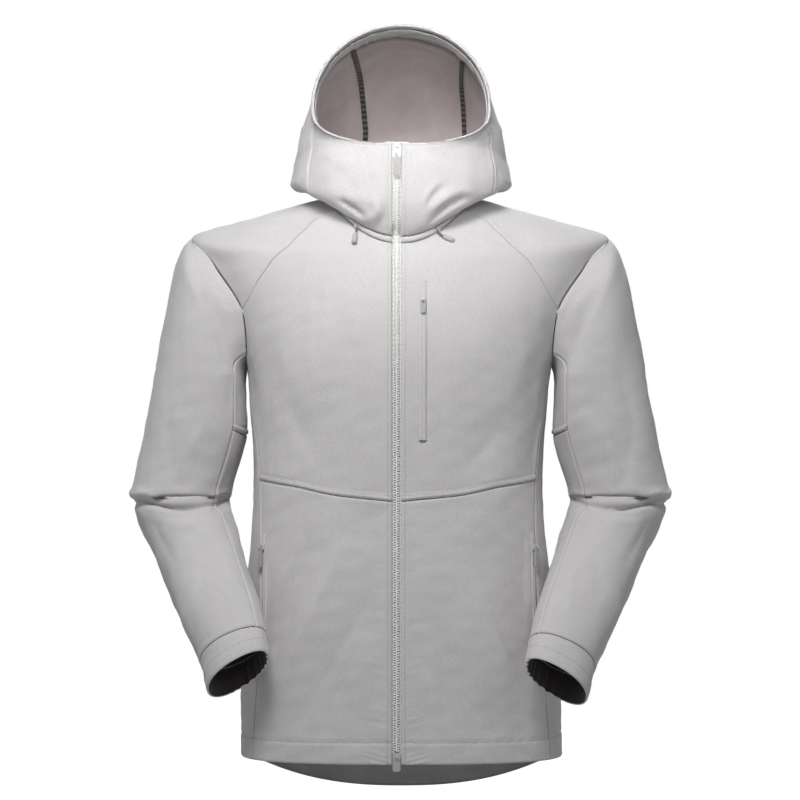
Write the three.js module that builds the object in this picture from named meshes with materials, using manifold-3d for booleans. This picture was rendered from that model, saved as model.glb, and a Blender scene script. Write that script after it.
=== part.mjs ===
// A hooded softshell jacket, standing filled out as if worn, in millimetres.
// +Z is up, the front faces -Y and +X is the wearer's left. The origin is the middle of the neck
// at the height where the shoulder line meets it.
import * as THREE from "three";
import { mergeVertices } from "three/addons/utils/BufferGeometryUtils.js";
import Module from "manifold-3d";

const wasm = await Module();
wasm.setup();

// Driving sizes
const cloth = 1.8; // softshell wall
const seamGap = 0.34; // between two pieces at a seam
const zipX = -4; // the front zip stands a little to the wearer's right
const zipHalf = 5; // zip axis to the folded edge of each front
const tapeWidth = 14;
const tapeThick = 0.9;
const collarTop = 54;
const mainPull = { width: 8, length: 27, thick: 1.6 };
const cordRadius = 1.3;

const finish = (color, roughness, metalness = 0) =>
  new THREE.MeshStandardMaterial({ color, roughness, metalness });
const softGrey = finish("#cbc9c8", 0.86);
const bandGrey = finish("#c4c2c1", 0.86);
const tapeGrey = finish("#5f5c5c", 0.8);
const zipGrey = finish("#c9c9c7", 0.6);
const metalGrey = finish("#b9b9b6", 0.4, 0.5);
const pullGrey = finish("#b6b5b3", 0.7);
const cordGrey = finish("#8f8e8c", 0.9);

// Sections of the body, from hem to neck. A ring passes through its side, front and back points;
// squareFront and squareBack say how boxy each half is, dip how sharply the ring leaves its side height.
const bodyColumns = [
  "centreX", "side", "sideY", "sideZ", "frontY", "frontZ", "backY", "backZ",
  "squareFront", "squareBack", "dip",
];
const body = rows(bodyColumns, [
  [2, 192, 0, -670, -128, -668, 122, -725, 2.5, 2.4, 2], // hem
  [1.5, 192, 0, -645, -127, -645, 121, -692, 2.5, 2.4, 2],
  [1, 189.5, 0, -590, -124, -590, 118, -625, 2.5, 2.4, 2],
  [0, 184.5, 0, -520, -121, -520, 114, -540, 2.5, 2.4, 2],
  [-1.5, 178.5, 0, -440, -118, -440, 110, -448, 2.45, 2.4, 2],
  [-2.5, 173.5, 0, -372, -116, -362, 109, -372, 2.4, 2.4, 2], // waist seam
  [-2.5, 174, 0, -312, -118, -304, 113, -308, 2.4, 2.4, 2],
  [-2, 177.5, 0, -258, -121, -250, 119, -250, 2.4, 2.4, 2],
  [-1, 182.5, 0, -206, -122, -200, 125, -192, 2.4, 2.4, 2], // bottom of the armhole
  [0, 197, 1, -160, -119, -158, 127, -142, 2.35, 2.3, 2],
  [0, 217, 2, -120, -113, -122, 124, -98, 2.3, 2.25, 2],
  [0, 237, 3, -82, -106, -93, 117, -60, 2.25, 2.2, 1.7],
  [0, 249, 4, -51, -100, -76, 107, -30, 2.2, 2.1, 1.5], // shoulder point
  [0, 206, 5, -36, -96, -70, 97, -12, 2.1, 2.1, 1.6],
  [0, 152, 5, -21, -92, -65, 86, -1, 2.1, 2.1, 2],
  [0, 108, 5, -9, -89, -63, 77, 5, 2.1, 2.1, 2],
  [0, 86, 5, -3, -87, -62, 71, 9, 2.1, 2.1, 2], // neck seam
]);
const armholeRow = 8;
const shoulderRow = 12;
const neckRow = 16;

// Sections of collar and hood, from the neck band to the edge of the face opening.
const hood = rows(bodyColumns, [
  [0, 85, 5, 3, -88, -55, 70, 16, 2.1, 2.1, 2], // top of the neck band
  [0, 108, 3, 3, -97, -40, 86, 15, 2.2, 2.1, 2],
  [1, 127, 0, 9, -103, -20, 103, 22, 2.3, 2.1, 2], // hanging edge at the sides
  [1, 129.5, -2, 27, -104, 3, 117, 50, 2.35, 2.1, 2],
  [1, 123.5, -8, 56, -102, 27, 124, 90, 2.4, 2.1, 1.8],
  [1.5, 116.5, -19, 80, -100, 43, 118, 129, 2.55, 2.1, 1.6],
  [1.5, 110, -38, 96, -99, 50, 92, 161, 2.8, 2.05, 1.3],
  [1.5, 106, -60, 101, -98, 53, 32, 180, 3, 2, 1.1],
  [1.5, 104, -80, 100, -98, collarTop, -84, 194, 3, 2, 1], // edge of the face opening
]);
const hoodTop = 8;

// Sections of a sleeve, from just past the armhole to the cuff's edge, for the +X arm. out and in are
// the outer and inner edge seen from the front, front and back the depths, lean the tilt forward.
const sleeveColumns = [
  "outX", "outZ", "inX", "inZ", "midY", "front", "back", "lean", "squareOut", "squareIn",
];
const sleeve = rows(sleeveColumns, [
  [260, -63, 185.5, -222, 4, 70, 74, 0, 2.2, 2.5],
  [271, -93, 185.5, -240, 4, 71, 75, 0, 2.2, 2.6],
  [279.5, -135, 185, -256, 5, 71, 75, 0, 2.2, 2.6],
  [288, -185, 184, -272, 6, 70, 73, 0, 2.2, 2.6],
  [297, -232, 184, -288, 7, 68, 70, 0, 2.2, 2.5],
  [305, -272, 188, -308, 8, 66, 67, 0, 2.2, 2.3],
  [313, -312, 194.5, -330, 9, 64, 64, 0, 2.2, 2.2],
  [320, -345, 200.5, -349, 10, 64.5, 63, 2, 2.2, 2.2],
  [323, -361, 203, -360, 10, 63.5, 63, 4, 2.2, 2.2], // lip over the elbow crease
  [319.5, -368, 205, -366.5, 9, 57.5, 59, 7, 2.2, 2.2], // elbow crease
  [317.5, -384, 202, -380, 7, 61, 62.5, 14, 2.2, 2.2],
  [301, -416, 193, -407, -10, 57, 60, 24, 2.2, 2.2],
  [278, -461, 180.5, -444, -47, 51, 52, 32, 2.2, 2.2],
  [255, -506, 165, -483, -87, 45, 45, 34, 2.2, 2.2],
  [232, -550, 154.5, -519, -120, 41, 41, 34, 2.2, 2.2], // cuff seam
  [222.5, -581, 150, -543, -139, 38, 38, 34, 2.2, 2.2], // cuff edge
]);
const elbowRow = 10;
const cuffSeamRow = 15;
const cuffRow = 16;
// The left cuff reaches a little further in and down than the right one.
const leftReach = { x: -7, y: -9, z: -8 };

// Seams seen from the front, as x and z on the +X half.
const raglanFront = [
  [78.6, -18.5], [95, -29], [116, -47.7], [136, -68.8], [152.6, -86], [165.5, -105], [176, -124], [186, -140],
];
const armholeFront = [[235.5, -68.5], [212, -98], [194, -124], [186, -140], [182, -168], [180.3, -190]];
const raglanBack = [[66, 3], [92, -14], [116, -36], [138, -62], [158, -92], [174, -120], [187, -146]];
const armholeBack = [[237, -68], [217, -98], [200, -125], [187, -146], [183.5, -172], [182.5, -193]];
const sideFront = [[181.4, -203], [175, -243], [166, -290], [160, -340], [159, -380], [160, -430], [163, -500],
  [170, -580], [176, -650], [178, -669]];
const waistSeam = [[159, -342], [120, -347], [70, -357], [zipX + zipHalf, -364]];

// The largest folds, seen from the front or the back as x and z: each a curve through three places, with
// its reach to either side and its height, negative in a trough. Those of a sleeve are for the +X arm.
const foldColumns = ["x1", "z1", "x2", "z2", "x3", "z3", "reach", "height"];
const bodyFolds = {
  front: rows(foldColumns, [
    [-150, -150, -120, -205, -95, -270, 26, 1.6],
    [-130, -240, -105, -285, -85, -335, 22, -1.3],
    [-52, -408, -98, -500, -156, -633, 22, 3],
    [-24, -470, -70, -560, -108, -640, 22, -2.4],
    [-95, -400, -132, -480, -170, -560, 17, -2],
    [150, -160, 128, -215, 110, -280, 24, 1.5],
    [120, -250, 95, -295, 60, -330, 20, -1.3],
    [62, -430, 104, -530, 152, -620, 22, 2.8],
    [30, -500, 66, -580, 100, -645, 22, -2],
    [100, -400, 138, -470, 166, -560, 16, -1.8],
  ]),
  back: rows(foldColumns, [
    [-150, -150, -95, -235, -40, -300, 26, 2.6],
    [150, -160, 100, -240, 36, -310, 24, 2.4],
    [-165, -200, -130, -290, -60, -360, 20, -2.2],
    [165, -205, 128, -300, 70, -372, 20, -2.2],
    [-120, -372, -20, -392, 90, -376, 14, -2],
    [-95, -398, 10, -420, 120, -404, 16, 1.8],
    [-60, -440, -100, -540, -140, -650, 24, 2.4],
    [50, -450, 96, -550, 130, -660, 24, 2.3],
    [0, -460, -6, -560, 6, -680, 26, -1.6],
  ]),
};
const sleeveFolds = {
  front: rows(foldColumns, [
    [226, -112, 206, -150, 196, -215, 22, -4.5],
    [300, -180, 296, -235, 300, -290, 22, 1.6],
    [214, -260, 238, -300, 262, -345, 16, 1.8],
    [268, -270, 262, -320, 248, -352, 18, -1.6],
    [206, -392, 262, -396, 310, -386, 14, 2],
    [270, -420, 256, -470, 236, -520, 16, 1.5],
    [212, -402, 226, -436, 224, -480, 12, -1.6],
  ]),
  back: rows(foldColumns, [
    [236, -110, 212, -150, 196, -205, 20, -3.6],
    [300, -160, 270, -220, 240, -262, 20, 2],
    [296, -330, 262, -350, 216, -342, 12, -2.6],
    [300, -385, 258, -402, 204, -388, 12, -2.6],
    [288, -412, 250, -426, 200, -414, 12, 2],
    [270, -450, 240, -480, 200, -500, 14, 1.6],
  ]),
};

// Small helpers
function rows(columns, table) {
  return table.map((row) => Object.fromEntries(columns.map((name, i) => [name, row[i]])));
}

function catmull(a, b, c, d, t) {
  return 0.5 * (2 * b + (c - a) * t + (2 * a - 5 * b + 4 * c - d) * t * t + (3 * b - a - 3 * c + d) * t ** 3);
}

function rowAt(table, t) {
  const last = table.length - 1;
  const i = Math.min(last - 1, Math.max(0, Math.floor(t)));
  const pick = (k) => table[Math.min(last, Math.max(0, k))];
  const out = {};
  for (const key of Object.keys(table[0])) {
    const before = i > 0 ? pick(i - 1)[key] : 2 * pick(i)[key] - pick(i + 1)[key];
    const after = i + 1 < last ? pick(i + 2)[key] : 2 * pick(i + 1)[key] - pick(i)[key];
    out[key] = catmull(before, pick(i)[key], pick(i + 1)[key], after, t - i);
  }
  return out;
}

function superEllipse(angle, square) {
  const s = Math.sin(angle);
  const c = Math.cos(angle);
  const k = (Math.abs(s) ** square + Math.abs(c) ** square) ** (-1 / square);
  return [s * k, c * k];
}

// A point of a body or hood ring. The angle is 0 at the front, 90 degrees at +X and 180 at the back.
function ringPoint(table, angle, t) {
  const r = rowAt(table, t);
  const front = Math.cos(angle) > 0;
  const [s, c] = superEllipse(angle, front ? r.squareFront : r.squareBack);
  const share = Math.abs(c);
  return new THREE.Vector3(
    r.centreX + r.side * s,
    r.sideY + ((front ? r.frontY : r.backY) - r.sideY) * share,
    r.sideZ + ((front ? r.frontZ : r.backZ) - r.sideZ) * share ** r.dip,
  );
}

const bodyPoint = (angle, t) => ringPoint(body, angle, t);
const hoodPoint = (angle, t) => ringPoint(hood, angle, t);

function normalOf(point, a, b, flip = 1) {
  const e = 0.002;
  const du = point(a + e, b).sub(point(a - e, b));
  const dv = point(a, b + e).sub(point(a, b - e));
  return du.cross(dv).normalize().multiplyScalar(flip);
}

// How far the folds move a place of the cloth in or out.
function foldLift(place, normal, folds, turn = 1) {
  const curveSteps = 24;
  const x = turn * place.x;
  let lift = 0;
  for (const [view, facing] of [["front", -normal.y], ["back", normal.y]]) {
    const seen = THREE.MathUtils.smoothstep(facing, -0.15, 0.25);
    if (seen === 0) continue;
    for (const fold of folds[view]) {
      let near = Infinity;
      let share = 0;
      for (let k = 0; k <= curveSteps; k++) {
        const s = k / curveSteps;
        const [a, b, c] = [(1 - s) * (1 - 2 * s), 4 * s * (1 - s), s * (2 * s - 1)];
        const away = Math.hypot(
          x - a * fold.x1 - b * fold.x2 - c * fold.x3, place.z - a * fold.z1 - b * fold.z2 - c * fold.z3);
        if (away < near) [near, share] = [away, s];
      }
      lift += seen * fold.height * Math.exp(-((near / fold.reach) ** 2)) * Math.sin(Math.PI * share) ** 0.7;
    }
  }
  return lift;
}

// The body's folds die out towards the front zip.
function bodyRelief(place, normal) {
  return foldLift(place, normal, bodyFolds) * THREE.MathUtils.smoothstep(Math.abs(place.x - zipX), 8, 30);
}

// The angle and row of a body surface where it shows at x, z from the front or from the back.
function find(point, x, z, fromAngle, toAngle, fromRow, toRow) {
  let best = [0, 0, Infinity];
  for (let i = 0; i <= 40; i++)
    for (let j = 0; j <= 60; j++) {
      const a = fromAngle + ((toAngle - fromAngle) * i) / 40;
      const t = fromRow + ((toRow - fromRow) * j) / 60;
      const p = point(a, t);
      const miss = (p.x - x) ** 2 + (p.z - z) ** 2;
      if (miss < best[2]) best = [a, t, miss];
    }
  let [a, t] = best;
  for (let step = 0; step < 12; step++) {
    const p = point(a, t);
    const e = 1e-4;
    const pa = point(a + e, t);
    const pt = point(a, t + e);
    const [xa, za] = [(pa.x - p.x) / e, (pa.z - p.z) / e];
    const [xt, zt] = [(pt.x - p.x) / e, (pt.z - p.z) / e];
    const det = xa * zt - xt * za;
    if (Math.abs(det) < 1e-6) break;
    a += THREE.MathUtils.clamp(((x - p.x) * zt - (z - p.z) * xt) / det, -0.1, 0.1);
    t += THREE.MathUtils.clamp(((z - p.z) * xa - (x - p.x) * za) / det, -0.3, 0.3);
    a = THREE.MathUtils.clamp(a, fromAngle, toAngle);
    t = THREE.MathUtils.clamp(t, fromRow, toRow);
  }
  return [a, t];
}

const quarter = Math.PI / 2;
const frontAt = ([x, z]) => find(bodyPoint, x, z, 0, quarter, 0, neckRow);
const backAt = ([x, z]) => find(bodyPoint, x, z, quarter, Math.PI, 0, neckRow);

// A seam through places on a surface, sampled at even steps of its real length.
function seam(point, places, steps) {
  const at = (s) => {
    const n = places.length - 1;
    const i = Math.min(n - 1, Math.floor(s * n));
    const pick = (k) => {
      if (k < 0) return places[0].map((v, c) => 2 * v - places[1][c]);
      if (k > n) return places[n].map((v, c) => 2 * v - places[n - 1][c]);
      return places[k];
    };
    return [0, 1].map((c) =>
      catmull(pick(i - 1)[c], pick(i)[c], pick(i + 1)[c], pick(i + 2)[c], s * n - i));
  };
  const fine = 240;
  const length = [0];
  let last = point(...at(0));
  for (let i = 1; i <= fine; i++) {
    const next = point(...at(i / fine));
    length.push(length[i - 1] + next.distanceTo(last));
    last = next;
  }
  return Array.from({ length: steps + 1 }, (_, k) => {
    const want = (length[fine] * k) / steps;
    let i = 0;
    while (i < fine - 1 && length[i + 1] < want) i++;
    const share = (want - length[i]) / (length[i + 1] - length[i]);
    return at((i + THREE.MathUtils.clamp(share, 0, 1)) / fine);
  });
}

// Places spread between four sampled edges that share their corners.
function spread(bottom, top, left, right) {
  const n = bottom.length - 1;
  const m = left.length - 1;
  return bottom.map((_, i) =>
    left.map((__, j) => {
      const u = i / n;
      const v = j / m;
      return [0, 1].map((c) =>
        (1 - v) * bottom[i][c] + v * top[i][c] + (1 - u) * left[j][c] + u * right[j][c]
        - (1 - u) * (1 - v) * bottom[0][c] - u * (1 - v) * bottom[n][c]
        - (1 - u) * v * top[0][c] - u * v * top[n][c]);
    }));
}

// Moves the rim of a grid of points in by half a seam gap, except on the sides named in keep.
function inset(grid, keep = "") {
  const n = grid.length - 1;
  const m = grid[0].length - 1;
  const toward = (from, to) => {
    const step = to.clone().sub(from);
    return step.multiplyScalar(seamGap / 2 / Math.max(step.length(), 1e-6));
  };
  const moves = [];
  for (let i = 0; i <= n; i++) {
    if (!keep.includes("b")) moves.push([grid[i][0], toward(grid[i][0], grid[i][1])]);
    if (!keep.includes("t")) moves.push([grid[i][m], toward(grid[i][m], grid[i][m - 1])]);
  }
  for (let j = 0; j <= m; j++) {
    if (!keep.includes("l")) moves.push([grid[0][j], toward(grid[0][j], grid[1][j])]);
    if (!keep.includes("r")) moves.push([grid[n][j], toward(grid[n][j], grid[n - 1][j])]);
  }
  for (const [p, move] of moves) p.add(move);
  return grid;
}

// One closed body between an outer and an inner grid. A ring grid closes on itself.
function wallSolid(outer, inner, ring = false) {
  const n = outer.length;
  const m = outer[0].length;
  const points = [...outer.flat(), ...inner.flat()];
  const at = (i, j, side) => side * n * m + (i % n) * m + j;
  const faces = [];
  const quad = (a, b, c, d) => faces.push(a, b, c, a, c, d);
  const across = ring ? n : n - 1;
  for (let i = 0; i < across; i++)
    for (let j = 0; j < m - 1; j++) {
      quad(at(i, j, 0), at(i + 1, j, 0), at(i + 1, j + 1, 0), at(i, j + 1, 0));
      quad(at(i, j, 1), at(i, j + 1, 1), at(i + 1, j + 1, 1), at(i + 1, j, 1));
    }
  for (let i = 0; i < across; i++) {
    quad(at(i, 0, 0), at(i, 0, 1), at(i + 1, 0, 1), at(i + 1, 0, 0));
    quad(at(i, m - 1, 0), at(i + 1, m - 1, 0), at(i + 1, m - 1, 1), at(i, m - 1, 1));
  }
  if (!ring)
    for (let j = 0; j < m - 1; j++) {
      quad(at(0, j, 0), at(0, j + 1, 0), at(0, j + 1, 1), at(0, j, 1));
      quad(at(n - 1, j, 0), at(n - 1, j, 1), at(n - 1, j + 1, 1), at(n - 1, j + 1, 0));
    }
  let volume = 0;
  for (let k = 0; k < faces.length; k += 3) {
    const [a, b, c] = [points[faces[k]], points[faces[k + 1]], points[faces[k + 2]]];
    volume += a.dot(b.clone().cross(c));
  }
  if (volume < 0) faces.reverse();
  const geometry = new THREE.BufferGeometry().setFromPoints(points);
  geometry.setIndex(faces);
  geometry.computeVertexNormals();
  return geometry;
}

const jacket = new THREE.Group();

function add(name, geometry, material) {
  const mesh = new THREE.Mesh(geometry, material);
  mesh.name = name;
  jacket.add(mesh);
  return mesh;
}

// A grid of points moved out along their normals by amounts of their own.
const moved = (base, normal, amount) => base.map((column, i) =>
  column.map((p, j) => p.clone().addScaledVector(normal[i][j], amount(i, j))));

// A piece of cloth over places of a surface: lift moves it out, mirror puts it on the -X half and relief
// gives it its folds.
function piece(name, point, places, material, options = {}) {
  const { lift = 0, thick = cloth, mirror = false, keep = "", relief = () => 0 } = options;
  const turn = mirror ? -1 : 1;
  const base = places.map((column) => column.map(([a, t]) => point(turn * a, t)));
  const normal = places.map((column) => column.map(([a, t]) => normalOf(point, turn * a, t)));
  const fold = base.map((column, i) => column.map((p, j) => relief(p, normal[i][j])));
  inset(base, keep);
  const outer = moved(base, normal, (i, j) => lift + fold[i][j]);
  const inner = moved(base, normal, (i, j) => lift - thick + fold[i][j]);
  add(name, wallSolid(outer, inner), material);
}

// Where a level of a surface crosses a given x, near its front centre line.
function angleAtX(point, t, x) {
  let [low, high] = [-0.5, 0.5];
  for (let step = 0; step < 40; step++) {
    const mid = (low + high) / 2;
    if (point(mid, t).x < x) low = mid;
    else high = mid;
  }
  return (low + high) / 2;
}

// Seams as places on the body, on the +X half and with the same samples on both sides of each seam.
const armholeTop = [quarter, shoulderRow];
const armholeBottom = [quarter, armholeRow];
const junctionSteps = 8;
const underSteps = 4;
const raglanSteps = 6;
const neckSteps = 2 * (junctionSteps - raglanSteps);
const acrossFront = 8;
const acrossShoulder = 8;
const acrossBack = 10;
const belowArm = 6;
const belowWaist = 8;

const frontCurve = [armholeTop, ...armholeFront.map(frontAt), armholeBottom];
const backCurve = [armholeTop, ...armholeBack.map(backAt), armholeBottom];
const junctionIndex = 4;
const sideIndex = 6;
const armhole = {
  topFront: seam(bodyPoint, frontCurve.slice(0, junctionIndex + 1), junctionSteps),
  lowFront: seam(bodyPoint, frontCurve.slice(junctionIndex, sideIndex + 1), underSteps),
  underFront: seam(bodyPoint, frontCurve.slice(sideIndex), underSteps),
  topBack: seam(bodyPoint, backCurve.slice(0, junctionIndex + 1), junctionSteps),
  lowBack: seam(bodyPoint, backCurve.slice(junctionIndex, sideIndex + 1), underSteps),
  underBack: seam(bodyPoint, backCurve.slice(sideIndex), underSteps),
};
const joined = (...parts) => parts.reduce((all, part) => all.concat(part.slice(1)));
const backwards = (list) => [...list].reverse();

const neckFrontEnd = [frontAt(raglanFront[0])[0], neckRow];
const neckBackEnd = [backAt(raglanBack[0])[0], neckRow];
const raglanFrontLine = seam(
  bodyPoint, [frontCurve[junctionIndex], ...raglanFront.slice(1, -1).reverse().map(frontAt), neckFrontEnd],
  raglanSteps);
const raglanBackLine = seam(
  bodyPoint, [backCurve[junctionIndex], ...raglanBack.slice(1, -1).reverse().map(backAt), neckBackEnd],
  raglanSteps);

const sideFrontPlaces = sideFront.slice(1, -1).map(frontAt);
const waistIndex = 3;
const hemFrontAngle = frontAt(sideFront.at(-1))[0];
const sideFrontHigh = seam(
  bodyPoint, [frontCurve[sideIndex], ...sideFrontPlaces.slice(0, waistIndex)], belowArm);
const sideFrontLow = seam(
  bodyPoint, [...sideFrontPlaces.slice(waistIndex - 1), [hemFrontAngle, 0]], belowWaist);
const sideBackAngle = Math.PI - hemFrontAngle;
const sideBackHigh = seam(
  bodyPoint, [backCurve[sideIndex], [sideBackAngle, 6.6], [sideBackAngle, sideFrontHigh.at(-1)[1]]], belowArm);
const sideBackLow = seam(
  bodyPoint, [[sideBackAngle, sideFrontHigh.at(-1)[1]], [sideBackAngle, 2.5], [sideBackAngle, 0]], belowWaist);

// The front edge of each front, at an even distance from the zip's axis.
function frontEdge(point, levels, mirror) {
  const x = zipX + (mirror ? -zipHalf : zipHalf);
  return levels.map((t) => [(mirror ? -1 : 1) * angleAtX(point, t, x), t]);
}

function levels(from, to, steps) {
  return Array.from({ length: steps + 1 }, (_, k) => from + ((to - from) * k) / steps);
}

const between = (a, b, s) => a.map((v, c) => v + (b[c] - v) * s);
const line = (a, b, steps) => levels(0, 1, steps).map((s) => between(a, b, s));

// Across a shoulder panel, with a place on the shoulder's ridge halfway through the steps.
function shoulderLine(from, to) {
  const ridge = from[1] > shoulderRow ? (from[1] - shoulderRow) / (from[1] - to[1]) : 0;
  const bend = THREE.MathUtils.clamp(ridge, 0.35, 0.97);
  const half = acrossShoulder / 2;
  const shares = [...levels(0, bend, half), ...levels(bend, 1, half).slice(1)];
  return shares.map((s) => between(from, to, s));
}

for (const mirror of [false, true]) {
  const side = mirror ? "right" : "left";
  const waistEdge = frontAt([zipX + zipHalf, -364])[1];
  const chestSide = joined(sideFrontHigh.slice().reverse(), backwards(armhole.lowFront), raglanFrontLine);
  const chestEdge = frontEdge(bodyPoint, levels(waistEdge, neckRow, chestSide.length - 1), mirror);
  const waist = seam(
    bodyPoint, [sideFrontHigh.at(-1), ...waistSeam.slice(1, -1).map(frontAt), chestEdge[0]], acrossFront);
  const neck = seam(bodyPoint, line(neckFrontEnd, chestEdge.at(-1), 3), acrossFront);
  piece("front_" + side, bodyPoint, spread(waist, neck, chestSide, chestEdge), softGrey,
    { mirror, relief: bodyRelief });

  const lowSide = backwards(sideFrontLow);
  const lowEdge = frontEdge(bodyPoint, levels(0, waistEdge, belowWaist), mirror);
  const hem = seam(bodyPoint, line(lowSide[0], lowEdge[0], 3), acrossFront);
  piece("lower_front_" + side, bodyPoint, spread(hem, waist, lowSide, lowEdge), softGrey,
    { mirror, keep: "b", relief: bodyRelief });

  const sideTop = joined(armhole.underFront, backwards(armhole.underBack));
  const sideHem = seam(bodyPoint, line([hemFrontAngle, 0], [sideBackAngle, 0], 3), underSteps * 2);
  piece("side_" + side, bodyPoint,
    spread(sideHem, sideTop, backwards(joined(sideFrontHigh, sideFrontLow)),
      backwards(joined(sideBackHigh, sideBackLow))), softGrey, { mirror, keep: "b", relief: bodyRelief });

  const neckArc = line(neckFrontEnd, neckBackEnd, neckSteps);
  const inner = joined(raglanFrontLine, neckArc, backwards(raglanBackLine));
  const outer = joined(backwards(armhole.topFront), armhole.topBack);
  const shoulder = inner.map((place, i) => shoulderLine(place, outer[i]));
  piece("shoulder_" + side, bodyPoint, shoulder, softGrey, { mirror, relief: bodyRelief });
}

// The back, from one side seam to the other
{
  const up = backwards(joined(backwards(raglanBackLine), armhole.lowBack, sideBackHigh, sideBackLow));
  const other = up.map(([a, t]) => [2 * Math.PI - a, t]);
  const hem = line(up[0], other[0], acrossBack);
  const neck = line(up.at(-1), other.at(-1), acrossBack);
  piece("back", bodyPoint, spread(hem, neck, up, other), softGrey, { keep: "b", relief: bodyRelief });
}

// Sleeves. The first ring is the armhole itself, then the rows of the table follow. The angle is 0 on
// the outer edge, 90 degrees at the front and 180 on the inner edge.
const armholeRing = joined(
  armhole.topFront, armhole.lowFront, armhole.underFront, backwards(armhole.underBack),
  backwards(armhole.lowBack), backwards(armhole.topBack));
const around = armholeRing.length - 1;
const underFrom = junctionSteps + underSteps;
const underTo = around - underFrom;
const gussetRow = 5;

function sleeveRing(turn, angle, row) {
  if (row <= 0) {
    const share = THREE.MathUtils.euclideanModulo(angle / (2 * Math.PI), 1) * around;
    const i = Math.floor(share);
    const [a, t] = armholeRing[i].map((v, c) => v + (armholeRing[i + 1][c] - v) * (share - i));
    return bodyPoint(turn * a, t);
  }
  const r = sleeve[row - 1];
  const out = Math.cos(angle) > 0;
  const front = Math.sin(angle) > 0;
  const [s, c] = superEllipse(angle, out ? r.squareOut : r.squareIn);
  const depth = (front ? r.front : r.back) * s;
  const lean = THREE.MathUtils.degToRad(r.lean);
  const reach = turn > 0 ? Math.max(0, (row - elbowRow) / (cuffRow - elbowRow)) : 0;
  return new THREE.Vector3(
    turn * ((r.outX + r.inX) / 2 + ((r.outX - r.inX) / 2) * c + reach * leftReach.x),
    r.midY - depth * Math.cos(lean) + reach * leftReach.y,
    (r.outZ + r.inZ) / 2 + ((r.outZ - r.inZ) / 2) * c + depth * Math.sin(lean) + reach * leftReach.z,
  );
}

function sleevePoint(turn, angle, row) {
  const i = Math.min(cuffRow - 1, Math.max(0, Math.floor(row)));
  const b = sleeveRing(turn, angle, i);
  const c = sleeveRing(turn, angle, i + 1);
  const a = i > 0 ? sleeveRing(turn, angle, i - 1) : b.clone().multiplyScalar(2).sub(c);
  const d = i + 2 <= cuffRow ? sleeveRing(turn, angle, i + 2) : c.clone().multiplyScalar(2).sub(b);
  const mix = (key) => catmull(a[key], b[key], c[key], d[key], row - i);
  return new THREE.Vector3(mix("x"), mix("y"), mix("z"));
}

// Over the shoulder the sleeve's edge is cut square to the body, so that the two edges meet flat.
function sleeveNormal(turn, angle, row) {
  const own = normalOf((a, t) => sleevePoint(turn, a, t), angle, Math.max(row, 0.01), turn);
  if (row > 0) return own;
  const i = THREE.MathUtils.euclideanModulo(Math.round((angle / (2 * Math.PI)) * around), around);
  const [a, t] = armholeRing[i];
  const share = THREE.MathUtils.smoothstep(Math.cos(angle), -0.75, -0.1);
  return own.lerp(normalOf(bodyPoint, turn * a, t), share).normalize();
}

const foldsFromRow = 1.2;

function sleevePiece(name, mirror, fromColumn, toColumn, rowList, material, keep = "") {
  const turn = mirror ? -1 : 1;
  const whole = toColumn - fromColumn === around;
  const count = toColumn - fromColumn + (whole ? 0 : 1);
  const angles = Array.from({ length: count }, (_, k) => ((fromColumn + k) * 2 * Math.PI) / around);
  const base = angles.map((a) => rowList.map((t) => sleevePoint(turn, a, t)));
  const normal = angles.map((a) => rowList.map((t) => sleeveNormal(turn, a, t)));
  const fold = base.map((column, i) => column.map((p, j) =>
    foldLift(p, normal[i][j], sleeveFolds, turn) * THREE.MathUtils.smoothstep(rowList[j], 0, foldsFromRow)));
  inset(base, whole ? "lr" + keep : keep);
  const outer = moved(base, normal, (i, j) => fold[i][j]);
  const inner = moved(base, normal, (i, j) => fold[i][j] - cloth);
  add(name, wallSolid(outer, inner, whole), material);
}

const sleeveRows = [0, 0.5, ...levels(1, cuffSeamRow, cuffSeamRow - 1)];
for (const mirror of [false, true]) {
  const side = mirror ? "right" : "left";
  sleevePiece("sleeve_" + side, mirror, underTo - around, underFrom, sleeveRows, softGrey);
  sleevePiece("gusset_" + side, mirror, underFrom, underTo,
    sleeveRows.filter((t) => t <= gussetRow), softGrey);
  sleevePiece("under_sleeve_" + side, mirror, underFrom, underTo,
    sleeveRows.filter((t) => t >= gussetRow), softGrey);
  sleevePiece("cuff_" + side, mirror, 0, around, levels(cuffSeamRow, cuffRow, 1), bandGrey, "t");
}

// Neck band, between the body and the collar
const bandBulge = 0.8;
const bandShare = { low: 0.03, high: 0.92 };
function bandPoint(angle, t) {
  const low = bodyPoint(angle, neckRow);
  const high = hoodPoint(angle, 0);
  const out = new THREE.Vector3(Math.sin(angle), -Math.cos(angle), 0);
  return low.lerp(high, t).addScaledVector(out, bandBulge * Math.sin(Math.PI * t));
}

// Collar and hood. Seams run from the neck up to the face opening, as row and angle in degrees.
const collarSeam = [[0, 62], [1, 58], [2, 54], [3, 54], [4, 56], [5, 58], [6, 60], [8, 62]];
const crownSeam = {
  left: [[0, 142], [2, 141], [4, 140], [6, 137], [8, 133]],
  right: [[0, 160], [2, 160], [4, 159], [6, 152], [8, 144]],
};
const rimWidth = 9;
const rimThick = 3.4;
const facing = { edge: 11, top: 34, thick: 1, from: 64 };
const tapeStrip = { width: 7, thick: 0.6 };
const hoodRows = [0, 0.5, 1, 1.5, 2, 2.7, 3.5, 4.3, 5.1, 5.8, 6.4, 7, 7.5, 8];

function seamAngle(table, row) {
  let i = 0;
  while (i < table.length - 2 && table[i + 1][0] < row) i++;
  const share = (row - table[i][0]) / (table[i + 1][0] - table[i][0]);
  return THREE.MathUtils.degToRad(table[i][1] + (table[i + 1][1] - table[i][1]) * share);
}

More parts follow.
